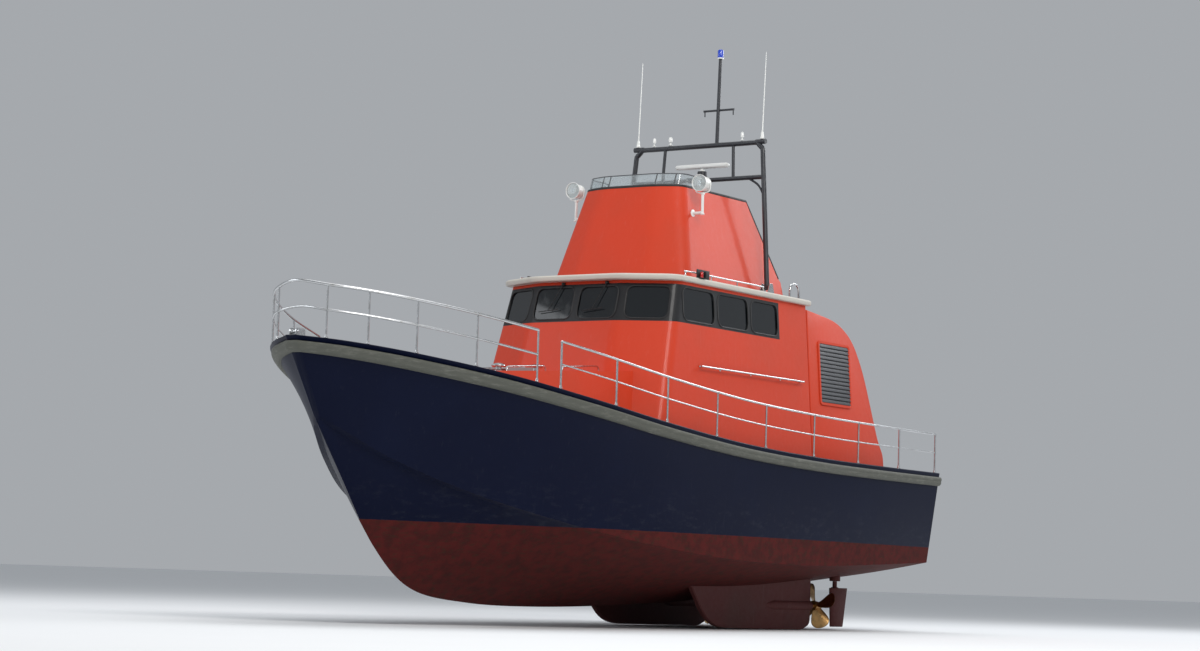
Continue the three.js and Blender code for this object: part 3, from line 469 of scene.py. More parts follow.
def hullSections(u):
    # port half sections, from the deck's centre round the bulwark, topside and bottom to the keel
    line = hullLine(u)
    height = line["sheerZ"] - line["chineZ"]
    sheer, atDeck = topside(line, 1.0), topside(line, 1 - line["bulwark"] / height)
    edge = np.maximum(0.020, atDeck[:, 1] - hullShape["cap"])
    rise = hullShape["camber"] * np.minimum(1, edge / 0.9)
    rows = [np.stack([atDeck[:, 0], edge * s, atDeck[:, 2] + rise * (1 - s * s)], -1)
            for s in np.linspace(0, 1, 7)]  # deck: z = edge height + rise * (1 - s^2)
    inner = np.stack([sheer[:, 0], np.maximum(0.020, sheer[:, 1] - hullShape["cap"]), sheer[:, 2]], -1)
    capRise = np.minimum(0.016, line["bulwark"] * 0.5)[:, None] * np.array([0.0, 0.0, 1.0])
    rows.append(rows[-1] + (inner - capRise - rows[-1]) * 0.5)
    middle, half = (inner + sheer) / 2, (sheer - inner) / 2
    for turn in np.linspace(0, math.pi, 7):  # half round cap between the inner and the outer edge
        rows.append(middle - half * math.cos(turn) + capRise * (math.sin(turn) - 1.0))
    rows += [topside(line, v) for v in np.linspace(0.975, 0.0, 15)]
    flat = np.minimum(hullShape["chineFlat"], line["chineY"] * 0.45)
    keel = np.stack([line["keelX"], 0 * flat, line["keelZ"]], -1)
    lip = rows[-1] - np.stack([0 * flat, flat, flat * 0.2], -1)
    for s in np.linspace(0, 1, 8):  # bottom: a straight rise with a belly of 20 mm * 4 s (1 - s)
        rows.append(lip * (1 - s) + keel * s + np.array([0.0, 0.0, -0.08 * s * (1 - s)]))
    return np.stack(rows, 1)


u = np.linspace(0, 1, hullShape["stations"])
half = hullSections(u)
sections = np.concatenate([half, (half[:, ::-1] * mirror)[:, 1:-1]], 1)
hull = Builder().loft(sections).make("hull_moulding", "hull deck", 30)
row = np.arange((len(u) - 1) * sections.shape[1]) % sections.shape[1]
onDeck = np.minimum(row, sections.shape[1] - 1 - row) < hullShape["deckRows"]
hull.data.polygons.foreach_set("material_index", np.append(onDeck, [0, 0]).astype(int))
cutAway(hull, Builder().box(hullShape["wellLow"], hullShape["wellHigh"], 0.002, 2), "FAST")
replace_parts(hull, "hull")

keelShape = {"y": 0.985, "corners": (0.02, 0.3, 0.3, 0.1, 0.1, 0.01, 0.01),
             "side": [(-1.15, -0.48), (-1.70, -1.12), (-2.10, -1.27), (-4.70, -1.29), (-4.96, -1.20),
                      (-4.96, -0.30), (-1.15, -0.30)],
             "tube": [(0.0, 0.0), (0.03, 0.02), (0.085, 0.35), (0.085, 1.56), (0.075, 1.575)]}
keels = Builder()
for sign in (1, -1):
    y = sign * keelShape["y"]
    flat = roundCorners(keelShape["side"], keelShape["corners"], 6)
    middle = flat.mean(0)
    keels.loft([lay(middle + (flat - middle) * scale, y + offset, 1)
                for offset, scale in ((-0.045, 0.9856), (-0.030, 1.0), (0.030, 1.0), (0.045, 0.9856))])
    keels.lathe(keelShape["tube"], (-3.4, y, -0.9), (-1, 0, 0))
    keels.lathe([(0.09, 0.0), (0.09, 0.25), (0.082, 0.258)], (-5.82, y, -0.232), (0, 0, -1))
keels.make("bilge_keels", "antifoul", 32)

# Belting: a half round rubber section that follows the sheer, rounded over at the stem.
beltShape = {"top": 0.070, "height": 0.150, "depth": 0.058, "nose": 0.010}
line = hullLine(u)
height = line["sheerZ"] - line["chineZ"]
top = topside(line, 1 - beltShape["top"] / height)
foot = topside(line, 1 - (beltShape["top"] + beltShape["height"]) / height)
along = np.gradient(top, axis=0)
out = np.stack([-along[:, 1], along[:, 0], np.zeros(len(u))], -1)
out /= np.linalg.norm(out, axis=1)[:, None]
loops = []
# section: p = middle + up * cos(t) * half + out * sin(t)^0.6 * depth, with a groove along its middle
for turn in np.linspace(0, math.pi, 13):
    reach = beltShape["depth"] * abs(math.sin(turn)) ** 0.6
    groove = 0.010 * math.exp(-((turn - math.pi / 2) / 0.16) ** 2)
    loops.append(top + (foot - top) * (1 - math.cos(turn)) / 2 + out * (reach - groove + 0.001))
loops += [top + (foot - top) * s - out * 0.004 for s in (0.8, 0.2)]
half = np.stack(loops, 1)
arc = []
for s in np.linspace(0, 1, 9)[1:-1]:  # round the stem: pushed ahead by nose * 4 s (1 - s)
    ahead = np.array([beltShape["nose"] * 4 * s * (1 - s), 0.0, 0.0])
    arc.append(half[-1] * (1 - s) + half[-1] * mirror * s + ahead)
belting = Builder().loft(np.concatenate([half, arc, (half * mirror)[::-1]]))
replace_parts(belting.make("belting_fender", "rubber", 40), "belting")
print("stage: hull built")

# Wheelhouse: a ring of a front, corner facets, straight sides and an end, drawn in with height.
houseShape = {
    "baseZ": 1.200, "topZ": 3.860, "aftX": -3.680, "middleX": -1.600, "facet": 0.46, "wall": 0.060,
    "tighter": 2 / 3,
    "corners": (0.110, 0.110, 0.143, 0.055, 0.055, 0.143),
    "base": (1.230, 0.880, 1.745), "top": (0.480, 0.740, 1.540),
}
windowShape = {"sill": 3.290, "head": 3.765, "corner": 0.070}
doorShape = {"middleY": -1.140, "middleZ": 2.520, "width": 0.600, "height": 1.800, "faceX": -3.718,
             "hinge": (-3.7405, -1.464), "hingeZ": (1.790, 2.410, 3.030),
             "grip": 0.220, "gripOut": 0.110, "gripZ": (2.349, 2.601)}
# Each window: its wall, its place along that wall, its width and its side of the boat.
windows = [(wall, along, width, sign) for wall, along, width in
           (("front", 0.395, 0.670), ("facet", 0.0, 0.640), ("port", -0.400, 0.860), ("port", -1.390, 0.860),
            ("port", -2.330, 0.780)) for sign in (1, -1)] + [("aft", -0.300, 0.620, 1)]


def faceted(values, facet, aftX, inset):
    # the ring's six corners, each wall moved in by the inset
    frontX, frontY, sideY = values
    lean = math.hypot(1, facet)
    fx, sy, endX = frontX - inset, sideY - inset, aftX + inset
    fy = frontY + inset / facet - inset * lean / facet
    cornerX = frontX - facet * (sy - frontY) - inset * lean
    return np.array([(fx, -fy), (fx, fy), (cornerX, sy), (endX, sy), (endX, -sy), (cornerX, -sy)])


def atHeight(shape, z):
    t = (z - shape["baseZ"]) / (shape["topZ"] - shape["baseZ"])
    return [base * (1 - t) + top * t for base, top in zip(shape["base"], shape["top"])]


def wallCorners(shape, z, inset=0.0):
    return faceted(atHeight(shape, z), shape["facet"], shape["aftX"], inset)


def wallLoop(shape, z, inset):
    radius = np.maximum(np.array(shape["corners"]) - inset * shape["tighter"], 0.01)
    return lay(roundCorners(wallCorners(shape, z, inset), radius, 7), z)


def wallShell(shape, count):
    heights = np.linspace(shape["baseZ"], shape["topZ"], count)
    return Builder().ring([wallLoop(shape, z, 0.0) for z in heights]
                          + [wallLoop(shape, z, shape["wall"]) for z in heights[::-1]])


def wallPoint(wall, along, z):
    # points on a wall's outer face, by their distance along it and their height
    corners = np.array([wallCorners(houseShape, value) for value in np.atleast_1d(z)])
    along = np.broadcast_to(along, (len(corners),))
    front, corner = corners[:, 1], corners[:, 2]
    if wall == "front":
        flat = np.stack([front[:, 0], along], -1)
    elif wall == "port":
        flat = np.stack([along, corner[:, 1]], -1)
    elif wall == "aft":
        flat = np.stack([np.full(len(along), houseShape["aftX"]), -along], -1)
    else:
        step = (corner - front) / np.linalg.norm(corner - front, axis=1)[:, None]
        flat = (front + corner) / 2 + step * along[:, None]
    return lay(flat, np.atleast_1d(z))


def windowRing(wall, along, width, sign, grow=0.0):
    # points round the opening on the wall's outer face, and the wall's outward direction
    middle = (windowShape["sill"] + windowShape["head"]) / 2
    high = windowShape["head"] - windowShape["sill"]
    flat = roundedRect(width + 2 * grow, high + 2 * grow, windowShape["corner"] + grow, 8)
    ring = wallPoint(wall, along + flat[:, 0], middle + flat[:, 1])
    a, b, c = (wallPoint(wall, along + x, middle + z)[0] for x, z in ((0, 0), (0.1, 0), (0, 0.1)))
    out = np.cross(b - a, c - a)
    out /= np.linalg.norm(out)
    if out @ (a - np.array([houseShape["middleX"], 0.0, a[2]])) < 0:
        out = -out
    side = np.array([1.0, sign, 1.0])
    return ring * side, out * side


house = wallShell(houseShape, 12).make("wheelhouse_moulding", "house", 32)
cutters, gaskets, panes, rim = Builder(), Builder(), Builder(), Builder()
for window in windows:
    ring, out = windowRing(*window)
    wide, edge = windowRing(*window, grow=0.024)[0], windowRing(*window, grow=0.004)[0]
    level = out * np.array([1.0, 1.0, 0.0])
    cutters.loft([ring + level * 0.2, ring - level * 0.2])
    gaskets.ring([ring + (wide - ring) * share + out * rise for share, rise in
                  ((0, -0.02), (0, 0.004), (0.25, 0.009), (0.75, 0.009), (1, 0.003), (1, -0.002))])
    panes.loft([edge - out * 0.016, edge - out * 0.024])
doorMiddle = np.array([doorShape["middleY"], doorShape["middleZ"]])
inner = roundedRect(doorShape["width"] - 0.06, doorShape["height"] - 0.06, 0.09, 8) + doorMiddle
outer = roundedRect(doorShape["width"] + 0.03, doorShape["height"] + 0.03, 0.12, 8) + doorMiddle
cutters.loft([lay(inner, houseShape["aftX"] + reach, 0) for reach in (-0.3, 0.3)])
cutAway(house, cutters)
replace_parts(house, "wheelhouse_front", "wheelhouse_port", "wheelhouse_starboard", "wheelhouse_aft")
gaskets.make("window_gaskets", "black", 40)
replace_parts(panes.make("window_panes", "glass", 20), "glazing")
rim.ring([lay(outer + (inner - outer) * share, x, 0) for x, share in
          ((-3.678, 0), (-3.706, 0), (-3.712, 0.1), (-3.712, 0.9), (-3.706, 1), (-3.630, 1))])
hingeX, hingeY = doorShape["hinge"]
for z in doorShape["hingeZ"]:
    rim.lathe([(0.017, -0.055), (0.017, 0.055)], (hingeX, hingeY, z), count=16)
    rim.box((hingeX, hingeY - 0.008, z - 0.05), (-3.706, hingeY + 0.008, z + 0.05), 0.003)
rim.make("door_rim", "orange", 32)

# Roof: a slab with rounded edges and a shallow gutter line, as (height, growth) from its underside up.
roofShape = {"front": 0.150, "corner": 0.020, "side": 0.055, "aft": 0.100,
             "round": (0.14, 0.14, 0.2, 0.1, 0.1, 0.2),
             "levels": ((3.8603, -0.03), (3.864, -0.006), (3.875, 0.004), (3.905, 0.010), (3.926, 0.008),
                        (3.940, -0.002), (3.948, -0.016), (3.950, -0.034))}
builder, loops = Builder(), []
for z, grow in roofShape["levels"]:
    x, frontY, sideY = houseShape["top"]
    values = (x + roofShape["front"] + grow, frontY + roofShape["corner"], sideY + roofShape["side"] + grow)
    corners = faceted(values, houseShape["facet"], houseShape["aftX"] - roofShape["aft"] - grow, 0.0)
    loops.append(lay(roundCorners(corners, roofShape["round"], 8), z))
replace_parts(builder.loft(loops).make("roof_moulding", "roof", 30), "roof")

# Coaming: the same kind of ring as the wheelhouse, run further aft, then cut along its slope and open behind.
coamingShape = {
    "baseZ": 3.9503, "topZ": 5.450, "aftX": -4.200, "facet": 0.40, "wall": 0.050, "tighter": 0.7,
    "corners": (0.120, 0.120, 0.168, 0.012, 0.012, 0.168),
    "base": (-0.300, 0.650, 1.250), "top": (-0.720, 0.480, 0.900),
    "slopeFrom": (-2.800, 5.450), "slopeTo": (-3.400, 4.270), "endX": -3.450, "trim": 0.031,
}
coaming = wallShell(coamingShape, 9).make("coaming_moulding", "orange", 32)
(x0, z0), (x1, z1), endX = coamingShape["slopeFrom"], coamingShape["slopeTo"], coamingShape["endX"]
side = [(x0, z0), (x1, z1), (endX, z1 - 0.05), (endX, 3.8), (-4.6, 3.8), (-4.6, 6.1), (x0, 6.1)]
cutAway(coaming, Builder().loft([lay(side, y, 1) for y in (-2.0, 2.0)]))
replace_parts(coaming, "coaming")

top = wallLoop(coamingShape, coamingShape["topZ"], coamingShape["wall"] / 2)
port = top[(top[:, 1] >= 0) & (top[:, 0] > x0)]
port = port[np.argsort(-port[:, 0] + port[:, 1])]
x = np.linspace(x0, x1, 8)
z = z0 + (x - x0) * (z1 - z0) / (x1 - x0)
y = atHeight(coamingShape, z)[2] - coamingShape["wall"] / 2
edge = np.concatenate([port, np.column_stack([x, y, z])])
whole = np.concatenate([(edge * mirror)[::-1], edge])
keep = np.concatenate([[True], np.linalg.norm(np.diff(whole, axis=0), axis=1) > 0.004])
Builder().pipe(whole[keep], coamingShape["trim"]).make("coaming_trim", "black", 40)

# Windscreen: clear sheet between a lower and an upper line, each a front x and a height.
screenShape = {"front": 0.475, "side": 0.885, "middleX": -1.4, "aftX": -1.8, "endX": -1.5,
               "low": (-0.732, 5.468), "high": (-0.798, 5.650), "thickness": 0.008,
               "posts": (0.0, 0.22, 0.36, 0.5, 0.64, 0.78, 1.0)}


def screenPath(frontX, z, inset):
    side, endX = screenShape["side"], screenShape["endX"]
    corners = faceted((frontX, screenShape["front"], side), coamingShape["facet"], screenShape["aftX"], inset)
    flat = roundCorners(corners, (0.12, 0.12, 0.16, 0.01, 0.01, 0.16), 8)
    flat = flat[np.argsort(np.arctan2(flat[:, 1], flat[:, 0] - screenShape["middleX"]))]
    flat = flat[flat[:, 0] > endX]
    return lay(np.concatenate([[(endX, inset - side)], flat, [(endX, side - inset)]]), z)


low, high, thick = screenShape["low"], screenShape["high"], screenShape["thickness"]
rows = [screenPath(*line, inset) for line, inset in
        ((low, 0.004), (high, 0.004), (high, 0.004 + thick), (low, 0.004 + thick))]
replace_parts(Builder().loft(np.stack(rows, 1)).make("windscreen_panes", "clear", 25), "windscreen")
high, low = screenPath(high[0] - 0.003, high[1], 0.010), screenPath(low[0], low[1] - 0.008, 0.010)
builder = Builder().pipe(high, 0.0095, 10)
for share in screenShape["posts"]:
    k = int(round(share * (len(high) - 1)))
    builder.bar(low[k], high[k], 0.010, 10, 4)
builder.make("windscreen_frame", "mast", 40)
print("stage: upper steering position built")

# Seats: a cushion and a back are inflated once, by cloth, and then set down at each of the four places.
seatShape = {
    "places": {"upper_seat": (-1.740, 0.420, 4.350, 0.380), "seat": (-0.640, 0.620, 2.100, 0.520)},
    "cushion": (0.435, 0.440, 0.088), "cushionAt": (-0.005, 0.056), "cushionTilt": 2.5,
    "back": (0.085, 0.430, 0.600), "backAt": (-0.302, 0.345), "backTilt": 6.3,
    "channels": (0.105, 0.160), "voxel": 0.006, "swell": 0.012, "bracket": 0.16,
}


def padForm(size, power):
    # a closed box whose corners are rounded by |x|^p + |y|^p + |z|^p = 1, on a grid of two angles
    v = np.linspace(-math.pi / 2, math.pi / 2, 40)[:, None]
    t = np.linspace(0, fullTurn, 96, endpoint=False)[None, :]
    bent = lambda value: np.sign(value) * np.abs(value) ** (2 / power)
    flat = [bent(np.cos(v)) * bent(np.cos(t)), bent(np.cos(v)) * bent(np.sin(t)), bent(np.sin(v)) + 0 * t]
    return np.stack(flat, -1) * np.array(size) / 2


def inflate(name, size, power=7.0):
    form = padForm(np.array(size) - 2 * seatShape["swell"] * 0.8, power)
    pad = Builder().loft(form).make(name, "seat", 180, None)
    outward(pad.data, 0.0006)
    remesh = pad.modifiers.new("remesh", "REMESH")
    remesh.mode, remesh.voxel_size = "VOXEL", seatShape["voxel"]
    pad.data = mesh = applied(pad)
    before = np.zeros(len(mesh.vertices) * 3)
    mesh.vertices.foreach_get("co", before)
    after = before.copy()
    cloth = pad.modifiers.new("cloth", "CLOTH")
    cloth.settings.use_pressure, cloth.settings.uniform_pressure_force = True, 4.0
    cloth.settings.effector_weights.gravity = 0.0
    cloth.settings.quality, cloth.settings.mass = 6, 0.25
    cloth.settings.tension_stiffness = cloth.settings.compression_stiffness = 12.0
    cloth.collision_settings.use_collision = False
    for step in range(1, 21):
        bpy.context.scene.frame_set(step)
    blown = applied(pad)
    if len(blown.vertices) == len(mesh.vertices):
        blown.vertices.foreach_get("co", after)
    bpy.context.scene.frame_set(1)
    move = (after - before).reshape(-1, 3)
    move *= np.minimum(1.0, seatShape["swell"] / np.maximum(np.linalg.norm(move, axis=1)[:, None], 1e-9))
    faces = [list(face.vertices) for face in mesh.polygons]
    bpy.data.objects.remove(pad, do_unlink=True)
    return before.reshape(-1, 3) + move, faces


def sewn(points, size, across, lines):
    # each channel sinks by 9 mm * exp(-(distance / 7 mm)^2) on the worn side
    depth = sum(0.009 * np.exp(-((points[:, across] - line) / 0.007) ** 2) for line in lines)
    thin, worn = int(np.argmin(size)), -1 if across == 2 else 1
    points = points.copy()
    points[:, thin] -= depth * np.clip(points[:, thin] / (size[thin] / 2) * worn, 0, 1) * worn
    return points


def tilted(points, degrees):
    c, s = math.cos(math.radians(degrees)), math.sin(math.radians(degrees))
    return points @ np.array([[c, 0, s], [0, 1, 0], [-s, 0, c]])


cushionPad, cushionFaces = inflate("pad_cushion", seatShape["cushion"])
backPad, backFaces = inflate("pad_back", seatShape["back"])
along, above = seatShape["channels"]
cushionPad = tilted(sewn(cushionPad, seatShape["cushion"], 1, (-along, along)), seatShape["cushionTilt"])
backPad = sewn(backPad * np.array([-1.0, 1.0, 1.0]), seatShape["back"], 2, (-above, 0.0, above))
backPad, backFaces = tilted(backPad, seatShape["backTilt"]), [face[::-1] for face in backFaces]
for prefix, (x, sideY, floorZ, high) in seatShape["places"].items():
    for side, sign in sides:
        y, h = sideY * sign, floorZ + high
        for part, pad, faces in (("cushion", cushionPad, cushionFaces), ("back", backPad, backFaces)):
            ahead, rise = seatShape[part + "At"]
            place = np.array((x + ahead, y, h + rise))
            piece = addMesh("%s_%s_%s" % (prefix, part, side), pad + place, faces, "seat", 180)
        builder = Builder().box((x - 0.228, y - 0.222, h + 0.001), (x + 0.214, y + 0.222, h + 0.018), 0.008)
        pedestal = [(0.148, 0.0), (0.148, 0.010), (0.138, 0.016), (0.062, 0.020), (0.054, 0.034),
                    (0.054, high - 0.04), (0.075, high - 0.012), (0.075, high + 0.004)]
        builder.lathe(pedestal, (x - 0.04, y, floorZ + 0.0005), count=32)
        for edgeY in (y - seatShape["bracket"], y + seatShape["bracket"]):
            builder.bend([(x + ahead, edgeY, h + rise) for ahead, rise in
                          ((-0.10, 0.006), (-0.25, 0.012), (-0.335, 0.09), (-0.372, 0.34))], 16, 0.012, 10)
        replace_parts(builder.make(prefix + "_frame_" + side, "mast", 34, slot="steel"), prefix + "_" + side)
print("stage: seats built")

# Mast: round tube legs and bars with swept joints, a pole and its yard, a radar platform and the aerials.
mastShape = {
    "x": -2.700, "footZ": 4.060, "footY": 1.380, "topY": 1.180, "topZ": 6.400, "rake": 0.090,
    "lowBarZ": 5.830, "legZ": (4.06, 4.9, 5.7, 6.28), "postY": 0.640, "radarX": -2.900, "radarZ": 6.080,
    "poleX": -2.830, "poleY": 0.330, "poleTop": 7.795, "yardZ": 6.960, "aerialY": 1.170,
    "platform": ((-3.008, -0.158, 5.841), (-2.682, 0.158, 5.869)), "strutX": (-2.76, -2.97),
}


def mastLeg(sign, z):
    t = (z - mastShape["footZ"]) / (mastShape["topZ"] - mastShape["footZ"])
    y = mastShape["footY"] + (mastShape["topY"] - mastShape["footY"]) * t
    return np.array([mastShape["x"] - mastShape["rake"] * t, sign * y, z])


lowBarZ, topZ, poleX, poleY = (mastShape[key] for key in ("lowBarZ", "topZ", "poleX", "poleY"))
topX = mastShape["x"] - mastShape["rake"]
half = np.array([mastLeg(1, z) for z in mastShape["legZ"]] + [mastLeg(1, topZ) - np.array([0, 0.1, 0.01])])
goal = np.concatenate([half * mirror, half[::-1]])
steps = [12 if k == 4 else 5 for k in range(9)]  # more of them on the long bar between the legs
run = [np.linspace(goal[k], goal[k + 1], steps[k])[:-1] for k in range(9)] + [goal[9:]]
builder = Builder().bend(np.concatenate(run), 90, 0.040, 18)
low, high = mastLeg(1, lowBarZ), mastLeg(1, topZ)
for sign in (1, -1):
    out, leg, hub = np.array([0, sign, 0]), mastLeg(sign, topZ), mastLeg(sign, mastShape["footZ"])
    builder.bar(leg - 0.12 * out, leg + 0.058 * out, 0.0415, 18)
    builder.bar(hub - 0.0635 * abs(out), hub + 0.0635 * abs(out), 0.0445, 20)
    postY = sign * mastShape["postY"]
    builder.bar([low[0], postY * low[1] / mastShape["topY"], low[2]], [high[0], postY, high[2]], 0.026, 14)
    brace = [mastLeg(sign, z) - inward * out for z, inward in ((5.50, 0), (5.70, 0.1), (5.83, 0.3))]
    builder.bend(brace, 10, 0.018, 10)
builder.bar(low, low * mirror, 0.036, 18)
builder.bar([topX, poleY, topZ], [poleX, poleY, mastShape["poleTop"]], np.linspace(0.030, 0.026, 6), 16, 6)
yardX, yardZ = poleX + 0.010, mastShape["yardZ"]
builder.bar([yardX, 0.05, yardZ], [yardX, 0.62, yardZ], 0.018, 12, 4)
for y in (0.07, 0.60):
    drop = [(yardX - back, y, yardZ - down) for back, down in ((0, 0), (0.004, 0.06), (0.004, 0.09))]
    builder.bend(drop, 5, 0.010, 8)
builder.box(*mastShape["platform"], 0.010)
for y in (-0.13, 0.13):
    builder.bar([mastShape["strutX"][0], y, 5.80], [mastShape["strutX"][1], y, 5.842], 0.016, 10)
builder.lathe([(0.108, 0), (0.110, 0.006), (0.110, 0.026), (0.096, 0.040), (0.078, 0.058), (0.075, 0.124),
               (0.068, 0.130)], (mastShape["radarX"], 0, 5.869), count=36)
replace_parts(builder.make("mast_tubes", "mast", 34, "mast_group"), "mast")

turn = np.linspace(0, fullTurn, 28, endpoint=False)
bulge = [np.sign(wave) * np.abs(wave) ** 0.62 for wave in (np.cos(turn), np.sin(turn))]
rows = []
for y in np.concatenate([[-0.4995, -0.496, -0.486], np.linspace(-0.46, 0.46, 9), [0.486, 0.496, 0.4995]]):
    # section of the bar: |x / 55|^3.2 + |z / 40|^3.2 = 1, drawn in at the ends
    draw = 1 - 0.55 * np.clip((abs(y) - 0.46) / 0.04, 0, 1) ** 2.2
    rows.append(lay(np.column_stack([mastShape["radarX"] + 0.0545 * draw * bulge[0],
                                     mastShape["radarZ"] + 0.0395 * draw * bulge[1]]), y, 1))
builder = Builder().loft(rows)
builder.lathe([(0.040, 0), (0.040, 0.02), (0.034, 0.03), (0.034, 0.05)], (mastShape["radarX"], 0, 5.9995))
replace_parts(builder.make("radar_bar", "white", 40, "radar"), "radar_scanner")

for side, sign in sides:
    y = sign * mastShape["aerialY"]
    path = np.linspace([topX, y, 6.52], [-2.85, y, 7.845], 16)
    radius = np.interp(path[:, 2], (6.52, 6.65, 7.8, 7.83, 7.845), (0.014, 0.0105, 0.0062, 0.0062, 0.004))
    base = [(0.034, 0), (0.034, 0.018), (0.028, 0.026), (0.023, 0.095), (0.018, 0.110)]
    whip = Builder().lathe(base, (topX, y, 6.4425), count=24).pipe(path, radius, 10)
    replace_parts(whip.make("aerial_whip_" + side, "white", 34, "mast_group"), "aerial_" + side)
profile = [(0.054, 0), (0.055, 0.004), (0.055, 0.020), (0.048, 0.024), (0.048, 0.118), (0.044, 0.134),
           (0.030, 0.146), (0.012, 0.149)]
lens = Builder().lathe(profile, (poleX, poleY, 7.8013), count=32)
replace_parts(lens.make("mast_head_lens", "blue", 34, "mast_group"), "mast_head_light")
builder = Builder().flange(0.0555, 0.018, 0.050, 0.022, (poleX, poleY, mastShape["poleTop"]), (0, 0, 1), 32)
for y, r in ((-0.55, 0.034), (0.80, 0.026), (-0.86, 0.026)):
    builder.lathe([(r * 1.15, 0), (r * 1.15, 0.012), (r * 0.4, 0.016), (r * 0.4, 0.05), (r, 0.056), (r, 0.10),
                   (r * 0.7, 0.13), (0, 0.14)], (topX, y, 6.439), count=24)
builder.make("mast_fittings", "white", 34, "mast_group")

# Searchlights: a ribbed drum in a yoke, on a post that an arm carries out from the coaming.
lampX, lampY, lampZ, armZ = -1.060, 1.170, 5.490, 5.040
lampShell = [(0, 0.0), (0.055, 0.002), (0.085, 0.014), (0.102, 0.040), (0.106, 0.060), (0.113, 0.110),
             (0.122, 0.170), (0.1285, 0.200), (0.1295, 0.2185), (0.122, 0.2190), (0.119, 0.205), (0, 0.200)]
lampPost = [(0.030, 0), (0.034, 0.012), (0.026, 0.030), (0.022, 0.035), (0.022, 0.300), (0.034, 0.315),
            (0.034, 0.335)]
lampRib = [(0.100, 0), (0.111, 0.001), (0.111, 0.005), (0.100, 0.006)]
lampYoke = [(-0.134, 0), (-0.130, 0.09), (-0.09, 0.132), (0, 0.14), (0.09, 0.132), (0.130, 0.09), (0.134, 0)]
for side, sign in sides:
    y, inner = sign * lampY, atHeight(coamingShape, armZ)[2] + 0.004
    builder = Builder().lathe(lampShell, (lampX - 0.1, y, lampZ), (1, 0, 0), 40)
    for k in range(5):
        builder.loft(latheGrid(lampRib, (lampX - 0.065 + 0.016 * k, y, lampZ), (1, 0, 0), 36))
    builder.bend([(lampX, y + across, lampZ - drop) for across, drop in lampYoke], 36, 0.010, 10)
    builder.lathe(lampPost, (lampX, y, lampZ - 0.478), count=24)
    arm = ((y + sign * 0.005, armZ + 0.01), (y - sign * 0.06, armZ), (sign * inner, armZ))
    builder.bend(lay(arm, lampX, 0), 8, 0.024, 14)
    builder.flange(0.058, 0.010, 0.030, 0.016, (lampX, sign * (inner - 0.004), armZ), (0, sign, 0), 24)
    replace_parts(builder.make("searchlight_body_" + side, "white", 34), "searchlight_" + side)
    lens = Builder().lathe([(0.118, 0), (0.118, 0.004), (0.09, 0.010), (0.05, 0.0135), (0, 0.0145)],
                           (lampX + 0.1015, y, lampZ), (1, 0, 0), 40)
    lens.make("searchlight_lens_" + side, "clear", 50)
print("stage: mast, radar and searchlights built")

# Rails: stainless tube, stanchions with flared feet on the bulwark's cap.
railShape = {"top": 0.640, "tube": 0.017, "middle": 0.3328, "posts": 9, "from": 0.012, "to": 0.6,
             "post": 0.0148}
pulpitShape = {"stations": np.arange(17, 27, 2) / 27, "high": 0.700, "post": 0.0138,
               "tubes": ((0.700, (7.020, 0, 3.180), 0.020), (0.370, (6.900, 0, 2.850), 0.015))}


def railPoint(at, high):
    p = topside(hullLine(np.atleast_1d(np.asarray(at, float))), 1.0)
    p[:, 1] = np.maximum(0, p[:, 1] - hullShape["cap"] / 2)
    return p + np.array([0.0, 0.0, 1.0]) * np.atleast_1d(high)[:, None]


def post(builder, foot, high, radius, lift=0.0):
    builder.bar(foot + np.array([0, 0, lift]), foot + np.array([0, 0, high]), radius, 12, 4)
    builder.lathe([(radius + grow, z) for grow, z in
                   ((0.0162, 0.001), (0.0162, 0.007), (0.0072, 0.010), (0.0032, 0.045))], foot, count=20)


for side, sign in sides:
    flip = np.array([1.0, sign, 1.0])
    run = np.linspace(railShape["from"], railShape["to"], 70)
    builder = Builder().pipe(railPoint(run, railShape["top"]) * flip, railShape["tube"], 14)
    builder.pipe(railPoint(run, railShape["middle"]) * flip, 0.011, 10)
    for at in np.linspace(railShape["from"], railShape["to"], railShape["posts"]):
        foot = railPoint(at, 0.0)[0] * flip
        post(builder, foot, railShape["top"], railShape["post"], 0.002)
        for high in (railShape["top"], railShape["middle"]):
            builder.lathe([(0.0185, -0.018), (0.0185, 0.002)], foot + np.array([0, 0, high]), count=16)
    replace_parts(builder.make("guard_rail_tubes_" + side, "steel", 40), "guard_rail_" + side)

builder = Builder()
for high, nose, radius in pulpitShape["tubes"]:
    part = railPoint(pulpitShape["stations"], high)
    builder.bend(np.concatenate([part, [nose], (part * mirror)[::-1]]), 90, radius, 14)
for at in pulpitShape["stations"]:
    for sign in (1, -1):
        post(builder, railPoint(at, 0.0)[0] * (1, sign, 1), pulpitShape["high"], pulpitShape["post"])
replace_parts(builder.make("pulpit_tubes", "steel", 40), "pulpit")

# Ladder up the after bulkhead, with its hoops bent over the roof's edge.
ladderShape = {"x": -3.880, "y": (0.900, 1.280), "rungs": np.arange(2.080, 4.0, 0.3)}
hoop = [(-3.682, 1.900), (-3.84, 1.930), (-3.88, 2.060), (-3.88, 2.5), (-3.88, 3.0), (-3.88, 3.6),
        (-3.88, 4.08), (-3.82, 4.2), (-3.68, 4.22), (-3.60, 4.15), (-3.59, 3.951)]
builder, sleeves, x = Builder(), Builder(), ladderShape["x"]
for y in ladderShape["y"]:
    builder.bend(lay(hoop, y, 1), 90, 0.0185, 14)
    builder.flange(0.045, 0.008, 0.026, 0.014, (-3.59, y, 3.9505), (0, 0, 1), 20)
    builder.flange(0.045, 0.008, 0.026, 0.014, (-3.6805, y, 1.900), (-1, 0, 0), 20)
for z in ladderShape["rungs"]:
    builder.bar([x, 0.892, z], [x, 1.288, z], 0.0148)
    sleeves.bar([x, 0.94, z], [x, 1.24, z], 0.0172)
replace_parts(builder.make("ladder_tubes", "steel", 40), "ladder")
